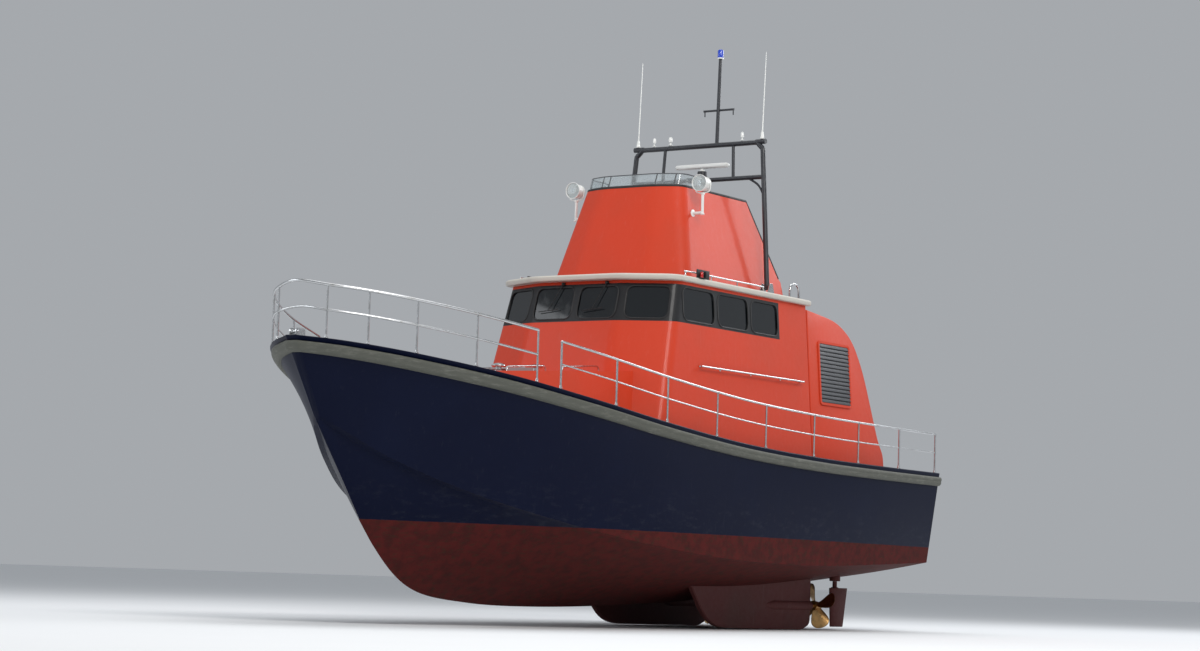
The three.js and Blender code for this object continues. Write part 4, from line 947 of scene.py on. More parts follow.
sleeves.make("rung_sleeves", "black", 40)
print("stage: rails and ladder built")


def houseSide(z):
    return atHeight(houseShape, z)[2]


# Grab rails along the wheelhouse, and one along each edge of the roof, for crew on the side deck below.
grabShape = {"z": 2.62, "from": -0.35, "to": -3.35, "roofY": 1.50, "roofFoot": 3.951, "roofZ": 4.03}
z, start, end = grabShape["z"], grabShape["from"], grabShape["to"]
foot, high = grabShape["roofFoot"], grabShape["roofZ"]
builder = Builder()
for sign in (1, -1):
    y = sign * (houseSide(z) + 0.062)
    builder.bend([(x, y - sign * back, z) for x, back in
                  ((start, 0.06), (start - 0.03, 0.01), (start - 0.09, 0), (-1.85, 0), (end + 0.09, 0),
                   (end + 0.03, 0.01), (end, 0.06))], 60, 0.0145)
    for x in np.linspace(start - 0.6, end + 0.6, 3):
        builder.bar([x, y - sign * 0.062, z], [x, y, z], 0.011, 10)
        builder.flange(0.026, 0.004, 0.013, 0.009, (x, y - sign * 0.063, z), (0, sign, 0), 20)
    y = sign * grabShape["roofY"]
    builder.bend([(-0.1, y, foot), (-0.12, y, 4.01), (-0.2, y, high), (-1.4, y, high), (-2.3, y, high),
                  (-2.38, y, 4.01), (-2.40, y, foot)], 70, 0.0125)
    for x in (-0.85, -1.6):
        builder.bar([x, y, foot], [x, y, high], 0.010, 10)
builder.make("grab_rails", "steel", 40)


def onFront(z, ahead, y):
    # a point ahead of the raked front face
    return np.array([wallCorners(houseShape, z)[1, 0] + ahead, y, z])


builder = Builder()
for y in (-0.395, 0.395):  # wipers, each an arm and the blade across its tip
    pivot, tip = onFront(3.825, 0.020, y + 0.12), onFront(3.42, 0.034, y - 0.06)
    builder.lathe([(0.024, -0.03), (0.024, 0.02), (0.015, 0.03)], pivot, (1, 0, 0), 20)
    builder.bar(pivot, tip, np.linspace(0.0085, 0.005, 8), 8, 8)
    reach = np.array([0.0, 0.17, 0.0]) + (pivot - tip) / np.linalg.norm(pivot - tip) * 0.02
    middle = tip - np.array([0.012, 0, 0])
    builder.bar(middle - reach, middle + reach, 0.006, 8, 6)
builder.make("window_wipers", "black", 40)


def louvre(name, origin, across, up, width, height, slats, border=0.045):
    # a raised frame, slats that slope down and out, and a black plate just off the wall behind them: painted
    # shade standing in for the dark opening of the intake
    across, up = (np.asarray(v, float) / np.linalg.norm(v) for v in (across, up))
    normal = np.cross(across, up)

    def onFace(flat, out):
        return np.asarray(origin, float) + flat[:, :1] * across + flat[:, 1:] * up + out * normal

    wide = roundedRect(width, height, 0.05, 6)
    narrow = roundedRect(width - 2 * border, height - 2 * border, 0.03, 6)
    levels = ((wide, 0.0006), (wide, 0.016), (wide * 0.992, 0.020), (narrow * 1.01, 0.020), (narrow, 0.016),
              (narrow, 0.0006))
    Builder().ring([onFace(*level) for level in levels]).make(name + "_frame", "orange", 34)
    builder = Builder()
    section = np.array([(0.030, 0.0008), (-0.024, 0.018), (-0.026, 0.021), (-0.021, 0.021), (0.030, 0.006)])
    for middle in np.linspace(-height / 2 + 0.075, height / 2 - 0.075, slats):
        builder.loft([onFace(lay(section[:, :1] + middle, x, 0), 0.0) + section[:, 1:] * normal
                      for x in (border - width / 2, width / 2 - border)])
    builder.make(name + "_slats", "mast", 34)
    # painted shade: a black sheet behind the slats in place of the shaded opening of the intake
    back = [onFace(narrow * 1.005, out) for out in (0.0007, 0.0030)]
    Builder().loft(back).make(name + "_back", "black", 34, slot="mast_paint")


# Louvred intakes on the outer face of each wing, and smaller ones round the engine casing.
slope = (houseSide(3.34) - houseSide(2.30)) / (3.34 - 2.30)
for side, sign in sides:
    middle, up = (-4.50, sign * houseSide(2.82), 2.82), (0, sign * slope, 1)
    louvre("intake_" + side, middle, (-sign, 0, 0), up, 1.04, 1.04, 15)
    louvre("casing_vent_" + side, (-4.98, sign * 0.760, 1.66), (-sign, 0, 0), (0, 0, 1), 0.70, 0.34, 4)
    louvre("casing_aft_vent_" + side, (-5.600, sign * 0.37, 1.66), (0, -1, 0), (0, 0, 1), 0.46, 0.34, 4)

# Side lights under the roof's edge, red to port and green to starboard, with a dark screen behind each.
lensProfile = [(0.027, 0), (0.027, 0.014), (0.024, 0.018), (0.024, 0.074), (0.018, 0.085), (0, 0.087)]
for (side, sign), paint in zip(sides, ("red", "green")):
    builder, y = Builder(), sign * (houseSide(3.86) + 0.005)
    for ahead, behind, out, bottom, top, radius in ((-0.700, -0.340, 0.012, 3.9505, 4.085, 0.004),
                                                    (-0.520, -0.340, 0.070, 3.9505, 3.960, 0.003),
                                                    (-0.520, -0.508, 0.070, 3.9505, 4.060, 0.003)):
        low, high = sorted((y, y + sign * out))
        builder.box((ahead, low, bottom), (behind, high, top), radius)
    builder.make("side_light_screen_" + side, "black", 34, slot="mast_paint")
    lens = Builder().lathe(lensProfile, (-0.430, y + sign * 0.041, 3.9605))
    lens.make("side_light_lens_" + side, paint, 34)


# Mushroom vents and two pairs of hand rails on the coachroof, and dogs and a ring on each hatch.
coachShape = {"foreX": 3.450, "foreZ": 2.270, "rise": 0.210, "length": 2.850}


def coachTop(x):
    return coachShape["foreZ"] + (coachShape["foreX"] - x) * coachShape["rise"] / coachShape["length"]


vent = [(0.062, -0.01), (0.062, 0.01), (0.045, 0.02), (0.045, 0.06), (0.098, 0.062), (0.105, 0.072),
        (0.098, 0.088), (0.062, 0.106), (0.02, 0.114), (0, 0.115)]
dog = [(0.036, 0), (0.036, 0.006), (0.020, 0.010), (0.016, 0.018)]
builder = Builder()
for x, y in ((3.05, 0.42), (3.05, -0.42), (1.55, 0.0)):
    builder.lathe(vent, (x, y, coachTop(x)), count=36)
for sign in (1, -1):
    for x0, x1, railY in ((1.05, 2.0, 0.78), (2.15, 3.1, 0.60)):
        builder.bend([(end + along, sign * railY, coachTop(end) + lift) for end, along, lift in
                      ((x0, 0, -0.002), (x0, 0.02, 0.05), (x0, 0.09, 0.07), ((x0 + x1) / 2, 0, 0.072),
                       (x1, -0.09, 0.07), (x1, -0.02, 0.05), (x1, 0, -0.002))], 44, 0.012)
builder.make("coachroof_fittings", "steel")

hatches = (("fore_hatch_fittings", "fore_lid", (2.35411, 0.0, 2.4070), 0.31, 0.0734, -1),
           ("engine_hatch_fittings", "engine_lid", (-4.98, 0.0, 2.0362), 0.42, 0.0, 1))
for name, body, centre, half, lean, away in hatches:
    builder = Builder()
    x = centre[0] + away * (half - 0.075)
    z = centre[2] - lean * (x - centre[0])
    for y in (-half * 0.62, half * 0.62):
        builder.lathe(dog, (x, y, z - 0.001), (lean, 0, 1), 24)
        builder.bend([(x, y, z + 0.012), (x, y - 0.04, z + 0.014), (x, y - 0.09, z + 0.012)], 8,
                     np.linspace(0.009, 0.006, 8), 10)
    x = centre[0] + away * (half - 0.14)
    z = centre[2] - lean * (x - centre[0])
    builder.bend([(x, y, z + lift) for y, lift in
                  ((-0.075, -0.001), (-0.070, 0.018), (-0.045, 0.024), (0.045, 0.024), (0.070, 0.018),
                   (0.075, -0.001))], 26, 0.0065, 10)
    builder.make(name, "steel", body=body)

# The door's port: its clamp ring with the bolts, and its pane.
portShape = {"middle": (doorShape["middleY"], 3.080), "faceX": doorShape["faceX"] - 0.045, "bolts": 12}
flat, wide = roundedRect(0.340, 0.420, 0.06, 8), roundedRect(0.400, 0.480, 0.085, 8)
port = [(wide, -0.0005), (wide, -0.008), (wide * 0.985, -0.012), (flat * 1.01, -0.012),
        (flat * 0.985, -0.006), (flat * 0.985, 0.02)]
builder = Builder().ring([lay(each + portShape["middle"], portShape["faceX"] + out, 0) for each, out in port])
t = np.linspace(0, fullTurn, portShape["bolts"], endpoint=False)
for y, z in zip(np.clip(np.cos(t) * 0.22875, -0.184, 0.184), np.clip(np.sin(t) * 0.2775, -0.224, 0.224)):
    at = (portShape["faceX"] - 0.011, portShape["middle"][0] + y, portShape["middle"][1] + z)
    builder.flange(0.008, 0.003, 0.005, 0.005, at, (-1, 0, 0), 10)
builder.make("door_port_ring", "steel", body="aft_door")
pane = [lay(flat * 0.975 + portShape["middle"], portShape["faceX"] + out, 0) for out in (0.016, 0.026)]
Builder().loft(pane).make("door_port_pane", "glass", body="aft_door")
print("stage: fittings built")

# Wings: panels with rounded edges that run aft in line with the wheelhouse's sides.
wingShape = {
    "outline": ((-6.050, 1.000), (-3.6806, 1.000), (-3.6806, 3.800), (-4.650, 3.700), (-5.150, 3.450),
                (-5.480, 2.950), (-5.900, 1.800), (-6.050, 1.600)),
    "corners": (0.01, 0.005, 0.02, 0.30, 0.26, 0.36, 0.16, 0.10),
    "levels": ((0.0, 0.014), (0.004, 0.005), (0.013, 0.0), (0.037, 0.0), (0.046, 0.005), (0.050, 0.014)),
}
flat = roundCorners(wingShape["outline"], wingShape["corners"], 9)
middle, half = (flat.max(0) + flat.min(0)) / 2, (flat.max(0) - flat.min(0)) / 2
for side, sign in sides:
    loops = []
    for depth, inset in wingShape["levels"]:
        ring = middle + (flat - middle) * (1 - inset / half)
        loops.append(lay(ring, sign * (houseSide(ring[:, 1]) - depth), 1))
    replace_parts(Builder().loft(loops).make("wing_panel_" + side, "orange"), "wing_" + side)

# Engine casing: a rounded box, open below and under its lid, with the barrels of the lid's hinge.
casingShape = {"low": (-5.600, -0.760, 1.100), "high": (-4.360, 0.760, 1.980), "wall": 0.060, "lid": 0.420,
               "lidX": -4.980, "radius": 0.045, "hinge": (-5.430, 2.014)}
low, high, thick = np.array(casingShape["low"]), np.array(casingShape["high"]), casingShape["wall"]
casing = Builder().box(low, high, casingShape["radius"], 5).make("casing_box", "orange")
cutAway(casing, Builder().box(low + (thick, thick, -0.1), high - thick, 0.02))
lidX, reach = casingShape["lidX"], casingShape["lid"]
hole = [lay(roundedRect(0.740, 2 * reach, 0.02, 5) + (lidX, 0), z) for z in (1.7, 2.3)]
cutAway(casing, Builder().loft(hole))
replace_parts(casing, "engine_casing")
builder, (x, z) = Builder(), casingShape["hinge"]
for y in (-0.230, 0.230):
    builder.bar([x, y - 0.045, z], [x, y + 0.045, z], 0.016, 20)
    builder.box((x - 0.008, y - 0.044, z - 0.054), (x + 0.008, y + 0.044, z), 0.003)
builder.make("casing_hinges", "steel")

# After bulkhead: a grab rail and a lamp by the door, and a steel handle on the door itself.
railY, lamp, bulkheadX = -0.740, (-3.6805, -1.140, 3.610), -3.6805
rail = [(-3.680, 1.95), (-3.735, 1.96), (-3.752, 2.02), (-3.752, 2.45), (-3.752, 2.88), (-3.735, 2.94),
        (-3.680, 2.95)]
builder = Builder().bend(lay(rail, railY, 1), 40, 0.0145, 14)
for z in (1.95, 2.95):
    builder.flange(0.034, 0.006, 0.018, 0.010, (bulkheadX, railY, z), (-1, 0, 0), 20)
builder.lathe([(0.082, 0), (0.082, 0.016), (0.074, 0.022), (0.070, 0.018)], lamp, (-1, 0, 0), 36)
builder.make("bulkhead_fittings", "steel")
dome = [(0, 0.010), (0.068, 0.016), (0.064, 0.034), (0.048, 0.050), (0.024, 0.058), (0, 0.060)]
Builder().lathe(dome, lamp, (-1, 0, 0), 36).make("bulkhead_lamp", "clear")
faceX, y, (low, high) = doorShape["faceX"], doorShape["middleY"] + doorShape["grip"], doorShape["gripZ"]
x = faceX - doorShape["gripOut"]
builder = Builder().bar([x, y, low], [x, y, high], 0.0152, 16, 8)
for z in (low + 0.021, high - 0.021):
    builder.bar([x, y, z], [faceX - 0.044, y, z], 0.0128, 14)
    builder.flange(0.030, 0.005, 0.017, 0.009, (faceX - 0.0452, y, z), (-1, 0, 0), 20)
builder.make("door_handle", "steel", body="aft_door")

# Running gear: four bladed propellers with faired hubs, and foil rudders on their stocks.
gearShape = {
    "y": 0.985, "z": -0.900, "propX": -5.200, "rudderX": -5.820,
    "blade": ((0.040, 0.070, 1.05, 0.026), (0.150, 0.120, 0.80, 0.018), (0.260, 0.150, 0.62, 0.012),
              (0.330, 0.122, 0.53, 0.0085), (0.362, 0.076, 0.50, 0.006), (0.374, 0.030, 0.48, 0.0035)),
    "hub": [(0.080, -0.110), (0.082, -0.104), (0.077, -0.02), (0.068, 0.06), (0.058, 0.118), (0.052, 0.134),
            (0.036, 0.1395), (0, 0.140)],
    "foil": ((-1.240, 0.130, -0.300, 0.034), (-0.600, 0.170, -0.430, 0.044)),
    "foilLevels": ((0.0, 0.016), (0.006, 0.005), (0.020, 0.0), (0.5, 0.0), (0.985, 0.0), (0.996, 0.004),
                   (1.0, 0.012)),
}
turn = np.linspace(0, fullTurn, 28, endpoint=False)
# half thickness along the chord s: 2.969 sqrt(s) - 1.26 s - 3.516 s^2 + 2.843 s^3 - 1.036 s^4
s = (1 - np.cos(np.linspace(0, math.pi, 18))) / 2
form = 2.969 * np.sqrt(s) - 1.260 * s - 3.516 * s ** 2 + 2.843 * s ** 3 - 1.036 * s ** 4
for side, sign in sides:
    centre = np.array([gearShape["propX"], gearShape["y"], gearShape["z"]])
    builder, place = Builder(), centre * (1, sign, 1)
    for k in range(4):
        spin, loops = math.radians(k * 90 + 20), []
        for r, chord, pitch, thick in smoothPath(gearShape["blade"], 22):
            # section: a = cos(t) along the chord, b = sin(t) (1 - 0.35 a) through it, turned by the pitch
            a, b = np.cos(turn) * chord, np.sin(turn) * (1 - 0.35 * np.cos(turn)) * thick * 0.9
            x, y = a * math.sin(pitch) + b * math.cos(pitch), a * math.cos(pitch) - b * math.sin(pitch)
            around, beyond = y * math.cos(spin) - r * math.sin(spin), y * math.sin(spin) + r * math.cos(spin)
            loops.append(np.column_stack([x, around, beyond]) + centre)
        builder.loft(np.array(loops) * (1, sign, 1))
    builder.lathe(gearShape["hub"], place, (-1, 0, 0), 40)
    builder.bar(place + (0.06, 0, 0), (-4.9755, place[1], place[2]), 0.038, 24)
    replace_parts(builder.make("screw_blades_" + side, "bronze", 40, "screw_" + side), "propeller_" + side)
    loops, stock = [], np.array([gearShape["rudderX"], sign * gearShape["y"], 0])
    for t, inset in gearShape["foilLevels"]:
        z, fore, aft, thick = (a + (b - a) * t for a, b in zip(*gearShape["foil"]))
        x, y = fore - inset + (aft + inset - fore + inset) * s, form * (thick - inset * 0.9)
        ring = np.concatenate([np.column_stack([x, y]), np.column_stack([x, -y])[-2:0:-1]])
        loops.append(lay(ring + stock[:2], z))
    builder = Builder().loft(loops).lathe([(0.0375, -0.66), (0.0375, -0.4908)], stock)
    builder.lathe([(0.064, -0.602), (0.064, -0.594), (0.040, -0.586)], stock)
    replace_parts(builder.make("rudder_blade_" + side, "antifoul", body="helm_" + side), "rudder_" + side)
print("stage: wings, casing and running gear built")


def deckHeight(x, y):
    # height of the deck under a point, from the same lines as the hull
    rows = hullLine(np.linspace(0, 1, 400))
    at = {key: np.interp(x, rows["sheerX"], rows[key]) for key in ("sheerY", "sheerZ", "bulwark")}
    edge = at["sheerY"] - hullShape["cap"]
    return at["sheerZ"] - at["bulwark"] + hullShape["camber"] * min(1, edge / 0.9) * (1 - (y / edge) ** 2)


# Anchor: shank, crown, stock, two pointed flukes and a shackle, with its chain run to the windlass.
anchorShape = {
    "shankX": (5.850, 6.690), "stock": (6.700, 2.292), "flukeZ": (2.2845, 2.3015),
    "fluke": ((6.060, 0.078), (6.660, 0.040), (6.740, 0.060), (6.700, 0.235)),
    "links": 15, "wire": 0.0062, "chainFrom": (5.788, 0.0, 2.3115), "chainTo": (5.150, 0.0, 2.2230),
}
rows = []
for t in np.linspace(0, 1, 14):
    low, high = 2.298 - 0.040 * t, 2.333 + 0.002 * t
    flat = roundedRect(0.029, high - low, 0.007, 4) + (0, (low + high) / 2)
    rows.append(lay(flat, anchorShape["shankX"][0] * (1 - t) + anchorShape["shankX"][1] * t, 0))
builder = Builder().loft(rows).box((6.642, -0.071, 2.239), (6.741, 0.071, 2.341), 0.014, 4)
stockX, stockZ = anchorShape["stock"]
builder.bar([stockX, -0.339, stockZ], [stockX, 0.339, stockZ], 0.0145, 16)
low, high = anchorShape["flukeZ"]
for sign in (1, -1):
    builder.lathe([(0, -0.010), (0.014, -0.008), (0.021, 0.004), (0.021, 0.010), (0.014, 0.020), (0, 0.022)],
                  (stockX, sign * 0.318, stockZ), (0, sign, 0), 20)
    outline = roundCorners(np.array(anchorShape["fluke"]) * (1, sign), (0.02, 0.01, 0.01, 0.03), 6)
    middle = outline.mean(0)
    builder.loft([lay(middle + (outline - middle) * scale, z) for z, scale in
                  ((low, 0.95), (low + 0.003, 1.0), (high - 0.004, 1.0), (high, 0.94))])
    builder.bar([6.150, sign * 0.083, high], [6.650, sign * 0.105, high], 0.007, 10)
    builder.bend([(5.872, sign * 0.023, 2.317), (5.845, sign * 0.027, 2.316), (5.812, sign * 0.019, 2.314),
                  (5.799, 0, 2.313)], 14, 0.0085)
builder.bar([5.870, -0.034, 2.317], [5.870, 0.034, 2.317], 0.0095)
start, end = np.array(anchorShape["chainFrom"]), np.array(anchorShape["chainTo"])
pitch = np.linalg.norm(end - start) / anchorShape["links"]
ahead = (end - start) / np.linalg.norm(end - start)
t = np.linspace(0, fullTurn, 20, endpoint=False)
run = np.sign(np.cos(t)) * np.abs(np.cos(t)) ** 0.7 * (pitch * 0.5 + anchorShape["wire"] * 0.9)
for k in range(anchorShape["links"]):
    # a link: half length half the pitch plus 0.9 of the wire, half width 15.5 mm, every other one turned
    cross = np.array([0.0, 1.0, 0.0]) if k % 2 else np.cross(ahead, [0, 1, 0])
    loop = start + ahead * (k + 0.5) * pitch + run[:, None] * ahead + (np.sin(t) * 0.0155)[:, None] * cross
    builder.pipe(loop, anchorShape["wire"], 8, closed=True)
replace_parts(builder.make("anchor_and_chain", "galvanised"), "anchor")
builder = Builder()
for x0, x1, y, z in ((5.900, 5.980, 0.070, 2.301), (6.560, 6.620, 0.200, 2.2845)):
    builder.box((x0, -y, deckHeight((x0 + x1) / 2, 0.1) - 0.03), (x1, y, z), 0.012, 4)
builder.make("anchor_chocks", "galvanised")

# Bow roller: two cheeks with bolt heads, the block between them and a waisted roller.
cheek = [(6.860, 2.300), (6.960, 2.300), (6.990, 2.462), (7.052, 2.462), (7.052, 2.556), (6.860, 2.556)]
flat, builder = roundCorners(cheek, (0.01, 0.01, 0.02, 0.02, 0.05, 0.05), 6), Builder()
for sign in (1, -1):
    builder.loft([lay(flat, sign * y, 1) for y in (0.0465, 0.0475, 0.0565, 0.0575)])
    builder.flange(0.016, 0.006, 0.010, 0.009, (7.012, sign * 0.0565, 2.508), (0, sign, 0), 16)
block = [(6.862, 2.22), (6.900, 2.22), (6.945, 2.30), (6.958, 2.474), (6.862, 2.474)]
builder.loft([lay(block, y, 1) for y in (-0.05, 0.05)])
waist = [(0.032, -0.045), (0.033, -0.040), (0.024, -0.016), (0.020, 0.0)]
waist += [(r, -y) for r, y in waist[-2::-1]]
builder.lathe(waist, (7.012, 0, 2.508), (0, 1, 0), 32)
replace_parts(builder.make("bow_roller_cheeks", "steel"), "bow_roller")

# Windlass: a foot, a chain wheel and a warping drum with whelps, between two foot switches.
drumX, switchX = 5.050, 4.860
drum = [(0.148, 1.95), (0.148, 2.146), (0.142, 2.158), (0.100, 2.160), (0.094, 2.168), (0.094, 2.196),
        (0.090, 2.203), (0.072, 2.209), (0.067, 2.222), (0.072, 2.236), (0.090, 2.242), (0.093, 2.248),
        (0.084, 2.256), (0.077, 2.275), (0.078, 2.310), (0.090, 2.342), (0.110, 2.362), (0.1145, 2.372),
        (0.1145, 2.388), (0.108, 2.397), (0.034, 2.3975), (0.030, 2.3985)]
whelp = ((0.078, 2.262), (0.079, 2.300), (0.092, 2.338), (0.108, 2.362))
switch = [(0.042, -0.02), (0.042, 0.006), (0.036, 0.012), (0.026, 0.013), (0.022, 0.022), (0, 0.025)]
builder = Builder().lathe(drum, (drumX, 0, 0), count=48)
for turn in np.arange(6) * math.pi / 3:
    builder.bend([(drumX + r * math.cos(turn), r * math.sin(turn), z) for r, z in whelp], 10, 0.006, 8)
for y in (0.24, -0.24):
    builder.lathe(switch, (switchX, y, deckHeight(switchX, y)), count=24)
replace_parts(builder.make("windlass_drum", "mast"), "windlass")

# Bollards on the fore deck and a towing bitt aft, each a capped post with two horns.
bollardX, bollardY = 4.350, 0.980
z = deckHeight(bollardX, bollardY)
bollard = [(0.098, z - 0.02), (0.098, z + 0.010), (0.064, z + 0.018), (0.0545, z + 0.034), (0.0545, 2.210),
           (0.060, 2.216), (0.060, 2.224), (0.050, 2.2295), (0, 2.2298)]
horn = [(0.0235, 0.03), (0.0235, 0.128), (0.029, 0.134), (0.029, 0.144), (0.022, 0.1498), (0, 0.1499)]
for side, sign in sides:
    builder = Builder().lathe(bollard, (bollardX, sign * bollardY, 0), count=36)
    for end in (1, -1):
        builder.lathe(horn, (bollardX, sign * bollardY, 2.150), (end, 0, 0), 24)
    node = "bollard_fore_" + side
    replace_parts(builder.make(node + "_post", "steel"), node)
x, z = -6.150, deckHeight(-6.15, 0.0)
bitt = [(0.079, z - 0.02), (0.079, 1.868), (0.088, 1.874), (0.088, 1.888), (0.074, 1.897), (0, 1.8995)]
horn = [(0.0315, 0.05), (0.0315, 0.232), (0.038, 0.238), (0.038, 0.252), (0.030, 0.2597), (0, 0.2599)]
bolt = [(0.016, 0), (0.016, 0.010), (0.008, 0.014), (0.008, 0.020)]
builder = Builder().lathe(bitt, (x, 0, 0), count=44)
builder.box((x - 0.150, -0.150, z - 0.03), (x + 0.150, 0.150, z + 0.012), 0.012)
for across, y in ((-0.115, -0.115), (-0.115, 0.115), (0.115, -0.115), (0.115, 0.115)):
    builder.lathe(bolt, (x + across, y, z + 0.011), count=6)
for end in (1, -1):
    builder.lathe(horn, (x, 0, 1.720), (0, end, 0))
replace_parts(builder.make("towing_bitt", "steel"), "towing_post")
print("stage: deck gear built")

# Upper helm: gauges, screens, throttles and a compass on the sloping face of the console.
helmShape = {
    "faceTop": (-1.040, 0.0, 5.330), "faceFoot": (-1.280, 0.0, 5.120), "compass": (-0.985, 0.330, 5.305),
    "gauges": ((0.26, 0.47, 0.042), (0.26, 0.36, 0.042), (0.26, 0.25, 0.042), (0.30, 0.60, 0.032),
               (0.62, 0.60, 0.032)),
    "wheels": (((-1.348, 0.330, 5.100), 0.170, -62.0), ((-0.055, 0.620, 2.740), 0.190, -60.0)),
    "soleZ": 4.350, "sole": (-2.830, -1.185), "soleY": 0.700,
}
top, foot = np.array(helmShape["faceTop"]), np.array(helmShape["faceFoot"])
climb = (top - foot) / np.linalg.norm(top - foot)
out = np.cross([0.0, -1.0, 0.0], climb)
starboard = (0, -1, 0)


def onHelm(share, y):
    return top + (foot - top) * share + np.array([0.0, y, 0.0])


bezels, dials, levers = Builder(), Builder(), Builder()
for share, y, r in helmShape["gauges"]:
    bezels.lathe([(r, 0), (r, 0.009), (r * 0.9, 0.012), (r * 0.86, 0.007)], onHelm(share, y), out, 32)
    dials.lathe([(r * 0.85, 0.004), (r * 0.85, 0.0085), (0, 0.0092)], onHelm(share, y), out, 32)
bezel, screen = roundedRect(0.310, 0.225, 0.02, 5), roundedRect(0.262, 0.178, 0.008, 4)
for y in (-0.14, -0.50):
    bezels.plate(onHelm(0.48, y), starboard, climb, bezel, ((0, 0), (0.020, 0), (0.024, 0.005)))
    dials.plate(onHelm(0.48, y), starboard, climb, screen, ((0.02, 0), (0.0256, 0)))
binnacle = roundedRect(0.085, 0.150, 0.02, 5)
bezels.plate(onHelm(0.55, 0.075), starboard, climb, binnacle, ((0, 0), (0.026, 0), (0.032, 0.006)))
for y in (0.060, 0.090):
    base = onHelm(0.55, y) + out * 0.03
    levers.bend([base, base + out * 0.06 + climb * 0.012, base + out * 0.095 + climb * 0.02], 8, 0.006, 10)
    knob = base + out * 0.105 + climb * 0.022
    levers.lathe([(0, -0.015), (0.010, -0.012), (0.014, 0.0), (0.010, 0.012), (0, 0.015)], knob, out, 16)
bezels.make("helm_bezels", "mast", 34, slot="console_dark")
dials.make("helm_dials", "glass", 34)
compass = [(0.052, 0), (0.052, 0.018), (0.044, 0.030), (0.034, 0.044), (0.018, 0.054), (0, 0.057)]
levers.lathe(compass, helmShape["compass"])
levers.make("helm_levers", "black", 34, slot="console_dark")

# The two steering wheels, at the upper helm and at the one in the wheelhouse.
boss = [(0.0232, -0.09), (0.0232, 0.005), (0.044, 0.010), (0.046, 0.020), (0.034, 0.028), (0, 0.031)]
builder = Builder()
for centre, radius, tilt in helmShape["wheels"]:
    # rim: centre + radius * (cos(t) * a + sin(t) * b), in the plane that the tilt gives, with three spokes
    c, s = math.cos(math.radians(tilt)), math.sin(math.radians(tilt))
    a, b, axis = np.array([c, 0, -s]), np.array([0.0, 1.0, 0.0]), np.array([s, 0, c])
    t = np.linspace(0, fullTurn, 56, endpoint=False)[:, None]
    grip = 0.0152 + 0.0012 * np.cos(12 * t[:, 0])
    builder.pipe(np.array(centre) + radius * (np.cos(t) * a + np.sin(t) * b), grip, 14, closed=True)
    for turn in np.arange(3) * fullTurn / 3:
        spoke = radius * (math.cos(turn) * a + math.sin(turn) * b)
        builder.bar(centre, centre + spoke, 0.0112, 12, 4)
    builder.lathe(boss, centre, axis)
builder.make("wheel_rims", "black", 34, slot="console_dark")

# A non-slip sole, a kick panel below its after edge and a nosing between them.
(x0, x1), z, y = helmShape["sole"], helmShape["soleZ"], helmShape["soleY"]
flat = roundedRect(x1 - x0 - 0.05, 2 * y - 0.05, 0.05, 6)
levels = ((0.0002, 0), (0.003, 0), (0.004, 0.002))
builder = Builder().plate(((x0 + x1) / 2, 0, z), (1, 0, 0), (0, 1, 0), flat, levels)
flat = roundedRect(0.620, 0.330, 0.04, 6)
builder.plate((x0, 0.0, 4.150), starboard, (0, 0, 1), flat, ((0, 0), (0.010, 0), (0.013, 0.005)))
builder.make("upper_sole_panel", "deck", 34)
builder = Builder().bar([x0 + 0.002, 0.004 - y, z - 0.004], [x0 + 0.002, y - 0.004, z - 0.004], 0.012, 10)
for y in (-0.26, 0.26):
    builder.lathe([(0.020, 0), (0.020, 0.006), (0, 0.009)], (x0 - 0.012, y, 4.15), (-1, 0, 0), 18)
builder.make("upper_sole_nosing", "steel", 34)

# Exhaust outlets in the transom, each with a flange and a flap.
exhaustShape = {
    "y": 1.150, "z": 0.560, "x": -7.076, "axis": (-1, 0, -0.067),
    "flange": [(0.130, -0.05), (0.130, 0.008), (0.122, 0.013), (0.092, 0.014), (0.088, 0.030),
               (0.078, 0.030), (0.076, 0.0)],
    "flap": [(0.086, 0.018), (0.090, 0.022), (0.090, 0.030), (0, 0.032)],
}
builder, flaps = Builder(), Builder()
for sign in (1, -1):
    at = (exhaustShape["x"], sign * exhaustShape["y"], exhaustShape["z"])
    builder.lathe(exhaustShape["flange"], at, exhaustShape["axis"], 40)
    flaps.lathe(exhaustShape["flap"], at, exhaustShape["axis"], 36)
builder.make("exhaust_flanges", "steel", 34)
flaps.make("exhaust_flaps", "black", 34)
print("stage: upper helm fitted out")

# Solids that keep their own shape: rounded edges and a finish of their own, as (paint, width, segments).
finishes = {
    "coachroof": ("orange", 0.035, 4), "door": ("orange", 0.010, 3), "fore_hatch": ("lid", 0.012, 3),
    "engine_hatch": ("lid", 0.012, 3), "upper_console": ("console", 0.010, 2),
    "helm_platform": ("console", 0.012, 2), "engine_port": ("engine", 0.020, 3),
    "engine_starboard": ("engine", 0.020, 3),
    "mast_foot_port": ("steel", 0.004, 2), "mast_foot_starboard": ("steel", 0.004, 2),
}
for node, (paint, width, segments) in finishes.items():
    piece = cadNodes[node]
    piece.modifiers.new("weld", "WELD").merge_threshold = 0.0002
    bevel = piece.modifiers.new("bevel", "BEVEL")
    bevel.width, bevel.segments, bevel.limit_method = width, segments, "ANGLE"
    bevel.angle_limit = math.radians(38)
    piece.modifiers.new("normals", "WEIGHTED_NORMAL").keep_sharp = True
    piece.data.materials.clear()
    piece.data.materials.append(paints[paint])
    piece.data.polygons.foreach_set("material_index", [0] * len(piece.data.polygons))
print("stage: solids finished", len(finishes))

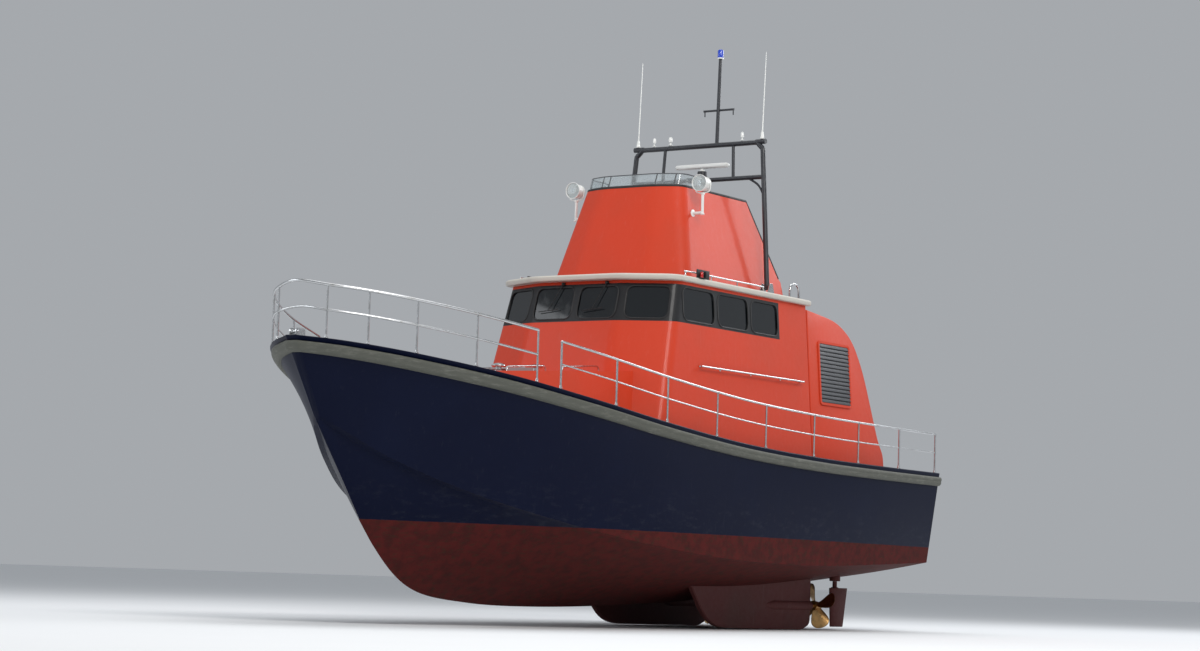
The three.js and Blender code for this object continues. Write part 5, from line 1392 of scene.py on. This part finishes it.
# Floor, world, lights and camera.
stageShape = {"floorZ": cadBox[0][2] - 0.002, "size": 600.0, "colour": (0.84, 0.855, 0.87)}
viewShape = {"azimuth": 124.0, "distance": 42.0, "z": -0.60, "target": (-0.10, 0.0, 3.25), "roll": 1.8,
             "across": 18.2}
nodes, size, colour = Nodes("studio_paper"), stageShape["size"], stageShape["colour"]
shade = nodes.mix(nodes.noise(0.35, 3.0), tuple(c * 0.97 for c in colour), colour)
paints["floor"] = nodes.finish(shade, 0.9, nodes.noise(40.0, 3.0), 0.02, 0.001)
x, y = np.meshgrid(np.linspace(-size, size, 41), np.linspace(-size, size, 41), indexing="ij")
corners = np.stack([x, y, 0 * x + stageShape["floorZ"]], -1)
floor = addMesh("studio_floor", corners, gridFaces(41, 41), "floor", 180, None)
if floor.data.polygons[0].normal.z < 0:
    floor.data.flip_normals()

bpy.context.scene.view_settings.view_transform = "Standard"  # keeps the paint's own saturation
world = bpy.data.worlds.new("studio")
world.use_nodes = True
world.node_tree.nodes["Background"].inputs["Color"].default_value = (0.86, 0.90, 0.95, 1.0)
world.node_tree.nodes["Background"].inputs["Strength"].default_value = 0.44
bpy.context.scene.world = world

for name, place, goal, size, power, colour in (
        ("key", (16.0, 22.0, 20.0), (0, 0, 2.0), (12.0, 9.0), 4900.0, (1.0, 0.975, 0.94)),
        ("fill", (20.0, -18.0, 12.0), (0, 0, 1.5), (16.0, 12.0), 1500.0, (0.93, 0.96, 1.0)),
        ("top", (-2.0, 0.0, 24.0), (0, 0, 0.0), (20.0, 14.0), 2400.0, (1.0, 1.0, 1.0)),
        ("rear", (-20.0, 8.0, 14.0), (0, 0, 2.0), (12.0, 8.0), 1600.0, (0.95, 0.97, 1.0))):
    data = bpy.data.lights.new(name, "AREA")
    data.shape, data.size, data.size_y, data.energy, data.color = "RECTANGLE", size[0], size[1], power, colour
    light = bpy.data.objects.new(name, data)
    light.location = place
    light.rotation_euler = (Vector(goal) - Vector(place)).to_track_quat("-Z", "Y").to_euler()
    bpy.context.scene.collection.objects.link(light)

turn, target = math.radians(viewShape["azimuth"]), Vector(viewShape["target"])
away = Vector((math.sin(turn), -math.cos(turn), 0)) * viewShape["distance"]
place = Vector((target.x, target.y, viewShape["z"])) + away
data = bpy.data.cameras.new("camera")
camera = bpy.data.objects.new("camera", data)
bpy.context.scene.collection.objects.link(camera)
look = (target - place).to_track_quat("-Z", "Y").to_matrix().to_4x4()
roll = Matrix.Rotation(math.radians(viewShape["roll"]), 4, "Z")
camera.matrix_world = Matrix.Translation(place) @ look @ roll
data.sensor_width = 36.0
data.lens = 36.0 * (target - place).length / viewShape["across"]
data.clip_end = 3000.0
bpy.context.scene.camera = camera
print("stage: floor, light and camera set")
